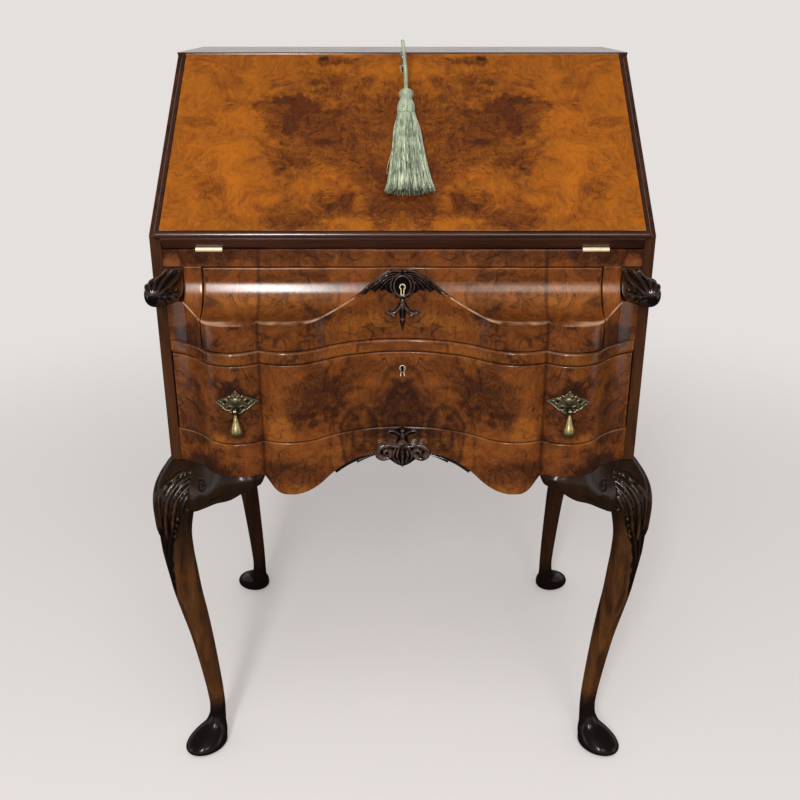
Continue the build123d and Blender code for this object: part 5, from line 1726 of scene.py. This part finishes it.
def pearDrop(name, side):
    h = handle
    y0 = (low(name)[1] + high(name)[1]) / 2
    z0 = handleZ - h["below"]
    length, radius = z0 - low(name)[2], (high(name)[0] - low(name)[0]) / 2
    end = h["pearEnd"]
    bend = np.sin(np.linspace(0, math.pi / 2, 9))
    along = np.concatenate([np.linspace(h["pear"][0][0], end, 44), end + (1 - end) * bend[1:]])
    wide = smoothTable(along, h["pear"])[0] * rounded(np.clip(along - end, 0, None) / (1 - end)) * radius
    pear = turnedObject(
        name + "_pear", wide, along * length, 36,
        lambda u, v, w: np.stack([side * handleX + u, y0 + v, z0 - w], -1),
    )
    place(pear, name, "drop", "brass", name)
    placeCad(name, name, "drop", "brass", 0.3, ((0, 0, z0 - h["neck"]), (0, 0, -1)))


plates = joined("handle_plates_chased", [handlePlate(1), handlePlate(-1)])
place(plates, "lower_drawer", "plate", "brass", "handle_plates")
forks = softened("handle_plates", 0.4 * mm, ((0, frontPlane - handle["forkCut"], 0), (0, 1, 0)))
forks.name = "handle_forks"
place(forks, "lower_drawer", "plate", "brass", "handle_plates")
pearDrop("drop_right", 1)
pearDrop("drop_left", -1)
print("handles made")


# Key and tassel

keyShape = {
    "reach": 0.032, "bow": 8 * mm, "wire": 1.6 * mm, "shank": 2.3 * mm, "stretch": 0.12, "flat": 0.9,
    # the shank: millimetres out of the fall's plane, then in from the bow, and radii as shares
    "fromFall": (18, 25.5, 25.8, 26.8, 27.2), "fromBow": (-6.2, -6, -5, -4.5, -1.5, -1, 1),
    "radii": (1, 1, 1.3, 1.3, 1, 1, 1.4, 1.57, 1.2, 1.57, 1.4, 0.8),
}
bowOut = fallThick + keyShape["reach"]


# The key: an oval ring of round wire, whose radius swells twice round it, and a turned shank.
def keyPiece():
    k = keyShape
    turn, around = np.meshgrid(ringAngles(56), ringAngles(14), indexing="ij")
    r = k["bow"] * (1 + k["stretch"] * np.cos(2 * turn)) + k["wire"] * np.cos(around)
    x = k["flat"] * k["wire"] * np.sin(around)
    points = onFall(x, keyAlong + r * np.cos(turn), bowOut + r * np.sin(turn))
    bow = shapeObject("bow", points, [gridFaces(*turn.shape, roundRows=True, roundColumns=True)])
    along = np.append(np.array(k["fromFall"]) * mm, bowOut - k["bow"] + np.array(k["fromBow"]) * mm)
    radii = np.array(k["radii"]) * k["shank"]
    shank = turnedObject("shank", radii, along, 28, lambda u, v, w: onFall(u, keyAlong + v, w))
    place(joined("key_turned", [bow, shank]), "key", "steel", "steel", "key")
    placeCad("key", "key", "steel", "steel", 0.2, fallCut(18.5 * mm))


tasselLook = {
    "room": 0.3 * mm, "diameter": 0.005, "length": 0.0706, "rest": 0.4 * mm, "ringGap": 1.5 * mm,
    # the cord's route in mm: across, up the slope and out of the fall, from the tip of the key's bow
    "route": (
        (0, 0, 0), (0.9, -8, -1.1), (2.2, -16.5, -6.7), (3.4, -28, -15.9), (4.3, -39.5, -24.9),
        (4.7, -50.5, -31.1), (4.75, -61, -31.7),
    ),
    "braid": {"pitch": 3 * mm, "sides": 36, "rings": 260, "strands": 4},
    "head": {
        "length": 0.044, "radius": 0.011, "sides": 120, "depth": 0.5 * mm, "ringed": 1.6 * mm, "points": 22,
        "pointDrop": 2.2 * mm, "across": 14, "down": 11,
    },
    "headShares": (
        (0, 0.3), (0.03, 0.66), (0.07, 0.8), (0.13, 0.84), (0.18, 0.78), (0.25, 0.6), (0.31, 0.62),
        (0.42, 0.8), (0.6, 0.98), (0.8, 1.02), (1, 0.96),
    ),
    "skirt": {
        "length": 0.128, "half": 0.033, "lean": 4.9 * mm, "strands": 820, "points": 11, "thread": 0.42 * mm,
        "wave": 0.8 * mm,
    },
    # the skirt's half width and thickness down its length, as shares
    "skirtShares": (
        (0, 0.35, 0.96), (0.12, 0.48, 1.06), (0.41, 0.6, 1.06), (0.68, 0.73, 1.02), (0.87, 0.84, 0.95),
        (1, 0.99, 0.8),
    ),
    "core": {"share": 0.8, "end": 0.9, "columns": 40, "rows": 16},
    # a loose thread: across, share of the skirt's length, out of the fall, in mm
    "loose": ((-10.5, 0.3, 12), (-15, 0.4, 14), (-19.5, 0.52, 12), (-23.5, 0.62, 6), (-24.5, 0.7, 2)),
}
cordStart = bowOut + keyShape["bow"] + tasselLook["ringGap"] + tasselLook["room"] + tasselLook["diameter"] / 2
route = [(x * mm, keyAlong + up * mm, cordStart + out * mm) for x, up, out in tasselLook["route"]]
routeEnd = route[-1]
headStart = routeEnd[1] - tasselLook["room"]
skirtStart = headStart - tasselLook["head"]["length"] - tasselLook["room"]


# The cord's own line, read from its spline.
def cordLine():
    data = bpy.data.curves.new("cord_route", "CURVE")
    data.dimensions = "3D"
    spline = data.splines.new("NURBS")
    spline.points.add(len(route) - 1)
    for point, at in zip(spline.points, route):
        point.co = (*onFall(*at), 1)
    spline.order_u = 3
    spline.use_endpoint_u = True
    spline.resolution_u = 26
    holder = linked("cord_route", data)
    mesh = bpy.data.meshes.new_from_object(holder)
    line = np.zeros(len(mesh.vertices) * 3)
    mesh.vertices.foreach_get("co", line)
    bpy.data.objects.remove(holder)
    return line.reshape(-1, 3)


# A braid: the radius swells where two sets of slanting threads cross it, as the cosine of the distance
# along less the distance round, folded like a chevron.
def braidedCord():
    b = tasselLook["braid"]
    line = cordLine()
    steps = np.append(0, np.cumsum(np.linalg.norm(np.diff(line, axis=0), axis=1)))
    at = np.linspace(0, steps[-1], b["rings"])
    path = np.stack([np.interp(at, steps, column) for column in line.T], -1)
    turn = np.linspace(0, 1, b["sides"], endpoint=False) * b["strands"]
    chevron = np.abs((turn + 0.5) % 1 - 0.5) * 2
    swell = np.abs(np.cos(math.pi * (at[:, None] / b["pitch"] + chevron * 0.9)))
    seam = np.abs(np.cos(math.pi * turn)) ** 0.35
    radii = tasselLook["diameter"] / 2 * (0.84 + 0.16 * swell * (0.6 + 0.4 * seam))
    # Painted shade: darker where the braid dips between its swells.
    shade = np.append((1 - swell * (0.5 + 0.5 * seam)).ravel(), (0, 0))
    made = tubeObject("tassel_braid", path, radii, b["sides"], 80, shade)
    place(made, "tassel", "cordSilk", "silk", "tassel_cord")
    return made, path


# The head: a bulb woven of two sets of slanting threads, ringed at its neck, its lower edge in points.
def tasselHead():
    k = tasselLook["head"]
    length = k["length"]
    along = np.concatenate([[0, 0.004, 0.012], np.linspace(0.03, 1, 110), [1, 0.97]])
    wide = smoothTable(unit(along), tasselLook["headShares"])[0] * k["radius"]
    wide[0] = wide[0] * 0.4
    wide[-2:] -= (0.8 * mm, 1.6 * mm)
    a, w = np.meshgrid(np.linspace(0, 1, k["sides"], endpoint=False), along)
    tips = np.abs((a * k["points"] + 0.5) % 1 - 0.5) * 2
    slants = [np.abs(np.cos(math.pi * (a * k["across"] + way * w * k["down"]))) for way in (1, -1)]
    ringed = 0.5 + 0.5 * np.cos(w * length / k["ringed"] * fullTurn)
    neck = unit((0.26 - w) / 0.03)
    swell = (1 - neck) * (1 - slants[0] * slants[1]) + neck * ringed
    r = wide[:, None] + k["depth"] * swell
    drop = w * length + np.where(w > 0.93, (w - 0.93) / 0.07 * k["pointDrop"] * tips, 0)
    angle = fullTurn * a
    points = onFall(routeEnd[0] + r * np.cos(angle), headStart - drop, routeEnd[2] + r * np.sin(angle))
    # Painted shade: darker in the dips between the woven threads.
    head = stackedObject("tassel_head_woven", points, 80, 0.75 * (1 - swell))
    place(head, "tassel", "cordSilk", "silk", "tassel_head")


# The skirt's half width and thickness at shares of its length, and its middle at such a place.
def skirtSize(share):
    wide, thick = smoothTable(share, tasselLook["skirtShares"])
    return wide * tasselLook["skirt"]["half"], thick * tasselLook["head"]["radius"]


def skirtMiddle(share, thick):
    return routeEnd[0] + tasselLook["skirt"]["lean"] * share, fallThick + tasselLook["rest"] + thick


# The skirt: wavy threads from the head's edge to their own places in the wide foot, round a core painted
# dark as shade so that nothing is seen through, and one thread astray; deeper threads are painted darker.
def tasselSkirt():
    t = tasselLook["skirt"]
    chance = np.random.default_rng(11)
    count, points = t["strands"], t["points"]
    angle = chance.uniform(0, fullTurn, count)
    deep = (1 - 0.34 * chance.random(count) ** 1.6)[:, None]
    ends = chance.uniform(0.9, 0.985, count) + 0.05 * unit(np.sin(angle))
    share = np.linspace(0, 1, points)
    down = share * ends[:, None] - 0.05 * (1 - share)
    at = unit(down)
    wide, thick = skirtSize(at)
    angle = angle[:, None] + chance.uniform(-0.22, 0.22, count)[:, None] * at ** 1.5
    wave = chance.uniform(6, 18, count)[:, None]
    wave = t["wave"] * np.sin(at * wave + chance.uniform(0, 6.3, count)[:, None]) * at
    middleX, middleH = skirtMiddle(at, thick)
    x = middleX + deep * wide * np.cos(angle) + wave
    h = np.maximum(middleH + deep * thick * np.sin(angle), fallThick + t["thread"] * 1.2)
    thin = np.interp(share, (0, 0.9, 1), (1, 1, 0.5))
    thread = t["thread"] * chance.uniform(0.8, 1.25, count)[:, None] * thin
    corner, thread = ringAngles(3), thread[..., None]
    px, ph = x[..., None] + thread * np.cos(corner), h[..., None] + thread * np.sin(corner)
    verts = onFall(px, np.broadcast_to((skirtStart - t["length"] * down)[..., None], px.shape), ph)
    step = points * 3
    first = (np.arange(count) * step)[:, None, None]
    faces = (gridFaces(points, 3, roundColumns=True) + first).reshape(-1, 4)
    caps = (np.array([[2, 1, 0], [step - 3, step - 2, step - 1]]) + first).reshape(-1, 3)
    # Painted shade on threads that lie deep, with some tone at random per thread.
    inside = unit((1 - deep[:, 0]) / 0.3 + chance.uniform(-0.35, 0.8, count))
    strands = shapeObject("tassel_threads", verts, [faces, caps], 180, np.repeat(inside, step))
    place(strands, "tassel", "silk", "silk", "tassel_skirt")

    c = tasselLook["core"]
    turn, w = np.meshgrid(ringAngles(c["columns"]), np.linspace(0, c["end"], c["rows"]))
    wide, thick = skirtSize(w)
    middleX, middleH = skirtMiddle(w, thick)
    points = onFall(
        middleX + c["share"] * wide * np.cos(turn), skirtStart - t["length"] * w,
        middleH + c["share"] * thick * np.sin(turn),
    )
    # The core is painted fully dark, as shade.
    place(stackedObject("tassel_core", points, 60, np.ones(w.size)), "tassel", "silk", "silk", "tassel_skirt")

    loose = [
        onFall(routeEnd[0] + across * mm, skirtStart - t["length"] * down, fallThick + out * mm)
        for across, down, out in tasselLook["loose"]
    ]
    hair = tubeObject("tassel_loose_thread", smoothPath(loose, 24), 0.3 * mm, 6)
    place(hair, "tassel", "silk", "silk")


keyPiece()
cord, cordPath = braidedCord()
tasselHead()
tasselSkirt()
print("key and tassel made")


# Small drawers behind the fall: plain trays with turned knobs

knobShape = {
    "reach": 0.013, "radius": 6.5 * mm,
    # radius of the knob as it comes out of the face, as shares
    "rows": (
        (0, 0.55), (0.06, 0.55), (0.16, 0.42), (0.36, 0.4), (0.5, 0.62), (0.62, 0.94), (0.72, 1),
        (0.84, 0.94), (0.94, 0.66), (1, 0.3),
    ),
}


def smallDrawer(name):
    k = knobShape
    face = low(name)[1] + k["reach"]
    middleX, _, middleZ = (low(name) + high(name)) / 2
    along = np.linspace(0, 1, 40)
    radii = smoothTable(along, k["rows"])[0] * k["radius"]
    knob = turnedObject(
        name + "_knob", radii, along * k["reach"], 32,
        lambda u, v, w: np.stack([middleX + u, face - w, middleZ + v], -1),
    )
    place(knob, name, "brass", "brass", name)
    placeCad(name, name, "side", "walnut", 0.6, ((0, face - 0.01 * mm, 0), (0, -1, 0)))


smallDrawer("small_drawer_left")
smallDrawer("small_drawer_right")
print("small drawers made")


# Stage: pale floor, soft light and the camera

stageLook = {
    "size": 60, "backdrop": (0.776, 0.745, 0.73), "floor": (0.78, 0.751, 0.737),
    "speck": (0.84, 0.84, 0.84), "least": 0.3, "near": 0.75, "far": 2.2,
    "mirrored": 0.04, "ambient": 0.55, "overhead": 0.08,
}


def rays():
    return [put("LightPath", {}, "Is " + kind + " Ray") for kind in ("Camera", "Glossy", "Transmission")]


# The floor takes light and shadow near the desk and runs into the plain backdrop further off; polish
# sees it dimmer.
def floorMaterial():
    s = stageLook
    material, shader = newMaterial("paleFloor", specular=0)
    camera, glossy, clear = rays()
    where = put("TexCoord", {}, "Object")
    dim = 1 - glossy * (1 - s["mirrored"])
    color = blend(noise(where, 3, 2) * 0.02, s["floor"], s["speck"])
    dress(shader, {"Base Color": blend(dim, (0, 0, 0), color), "Roughness": 0.9})
    glow = put("Emission", {"Color": s["backdrop"], "Strength": dim})
    far = s["least"] + ramp(vectorCalc("LENGTH", where), s["near"], s["far"]) * (1 - s["least"])
    seen = largest([camera, glossy, clear])
    mix = put("MixShader", {0: seen * far, 1: Term(shader.outputs[0]), 2: glow})
    output = next(n for n in material.node_tree.nodes if n.type == "OUTPUT_MATERIAL")
    feed(output.inputs["Surface"], mix)
    return material


def makeStage():
    size = stageLook["size"]
    mesh = bpy.data.meshes.new("floor")
    corners = [(-size, -size, 0), (size, -size, 0), (size, size, 0), (-size, size, 0)]
    mesh.from_pydata(corners, [], [(0, 1, 2, 3)])
    floor = linked("floor", mesh)
    mesh.materials.append(floorMaterial())


# Lamps: place, what they point at, width and height, power and colour. The narrow window draws the
# bright line in the hollow; polish doesn't see the overhead one, which would veil it.
lamps = {
    "window": ((-0.55, -2.75, 1.95), (0, 0, 0.55), (0.34, 1), 49, (1, 1, 1)),
    "rightWindow": ((0.62, -2.75, 2), (0, 0, 0.55), (0.7, 0.9), 13, (1, 0.84, 0.72)),
    "high": ((0, -1.6, 3), (0, 0, 0.5), (2, 1.8), 34, (1, 1, 1)),
    "leftStrip": ((-1.9, -0.7, 0.5), (0, -0.2, 0.5), (0.6, 1), 1.8, (1, 1, 1)),
    "rightStrip": ((1.9, -0.7, 0.5), (0, -0.2, 0.5), (0.6, 1), 1.8, (1, 1, 1)),
}


def areaLight(name, location, aim, size, power, color):
    light = bpy.data.lights.new(name, "AREA")
    light.shape = "RECTANGLE"
    light.size, light.size_y = size
    light.energy = power
    light.color = color
    lamp = linked(name, light)
    lamp.location = location
    x, y, z = np.array(aim) - np.array(location)
    lamp.rotation_euler = (math.atan2(math.hypot(x, y), -z), 0, math.atan2(-x, y))
    lamp.visible_glossy = name != "high"


# The world: the backdrop to the camera, an even grey to matt surfaces, and to polish a pale horizon
# below a dark ceiling, by how high the direction points.
def makeWorld():
    s = stageLook
    white = (1, 1, 1)
    world = bpy.data.worlds.new("studio")
    bpy.context.scene.world = world
    world.use_nodes = True
    building["tree"] = world.node_tree
    camera, glossy, clear = rays()
    up = vectorParts(put("TexCoord", {}, "Generated"))[2]
    sky = blend(ramp(up, 0.1, 0.45), white, (s["overhead"],) * 3)
    shade = blend(glossy, (s["ambient"],) * 3, sky)
    shade = blend(larger(camera, clear), shade, white)
    dress(world.node_tree.nodes["Background"], {
        "Color": blend(1, s["backdrop"], shade, "MULTIPLY"), "Strength": 1,
    })


cameraSet = {
    "focal": 961.4, "frame": 800, "sensor": 36, "pitch": 22.387, "middle": 402.5, "y": -1.171, "z": 1.049,
}


def makeCamera():
    c = cameraSet
    data = bpy.data.cameras.new("camera")
    data.sensor_width = c["sensor"]
    data.lens = c["focal"] / c["frame"] * c["sensor"]
    data.shift_x = -(c["middle"] - c["frame"] / 2) / c["frame"]
    camera = linked("camera", data)
    camera.location = (0, frontPlane + c["y"], c["z"])
    camera.rotation_euler = (math.radians(90 - c["pitch"]), 0, 0)
    bpy.context.scene.camera = camera


makeStage()
makeWorld()
for name, row in lamps.items():
    areaLight(name, *row)
makeCamera()
bpy.context.scene.view_settings.view_transform = "Standard"
print("stage made")


# CAD pieces that keep their own mesh: finish, slot, rounding and names

plain = {
    ("side", "walnut", 1.2): ("side_panel_left", "side_panel_right"),
    ("top", "walnut", 0.9): ("top_board",),
    ("frontBurr", "burr_walnut", 0.9): ("hinge_rail",),
    ("inner", "drawer_lining", 0.5): (
        "back_panel", "bottom_board", "dust_board", "loper_partitions", "loper_runners", "drawer_guides",
        "corner_blocks", "drawer_stops", "loper_pegs",
    ),
    ("lining", "drawer_lining", 0.6): (
        "upper_drawer_sides", "upper_drawer_back", "upper_drawer_bottom", "lower_drawer_sides",
        "lower_drawer_back", "lower_drawer_bottom",
    ),
    ("side", "walnut", 0.6): ("writing_bed", "pigeonhole_shelves", "pigeonhole_dividers"),
    ("leg", "dark_walnut", 2.2): ("side_brackets",),
    ("thread", "brass", 0.15): ("hinge_case_leaves", "hinge_fall_leaves", "hinge_pins", "fall_escutcheon"),
    ("brass", "brass", 0.15): ("fall_lock_case", "upper_drawer_lock", "lower_drawer_lock", "lock_strike"),
    ("steel", "steel", 0.3): ("fall_bolt",),
    ("leather", "leather", 0.2): ("writing_leather",),
}
for (finish, slot, rounding), names in plain.items():
    for name in names:
        placeCad(name, bodyOf[name], finish, slot, rounding)
print("plain pieces made")
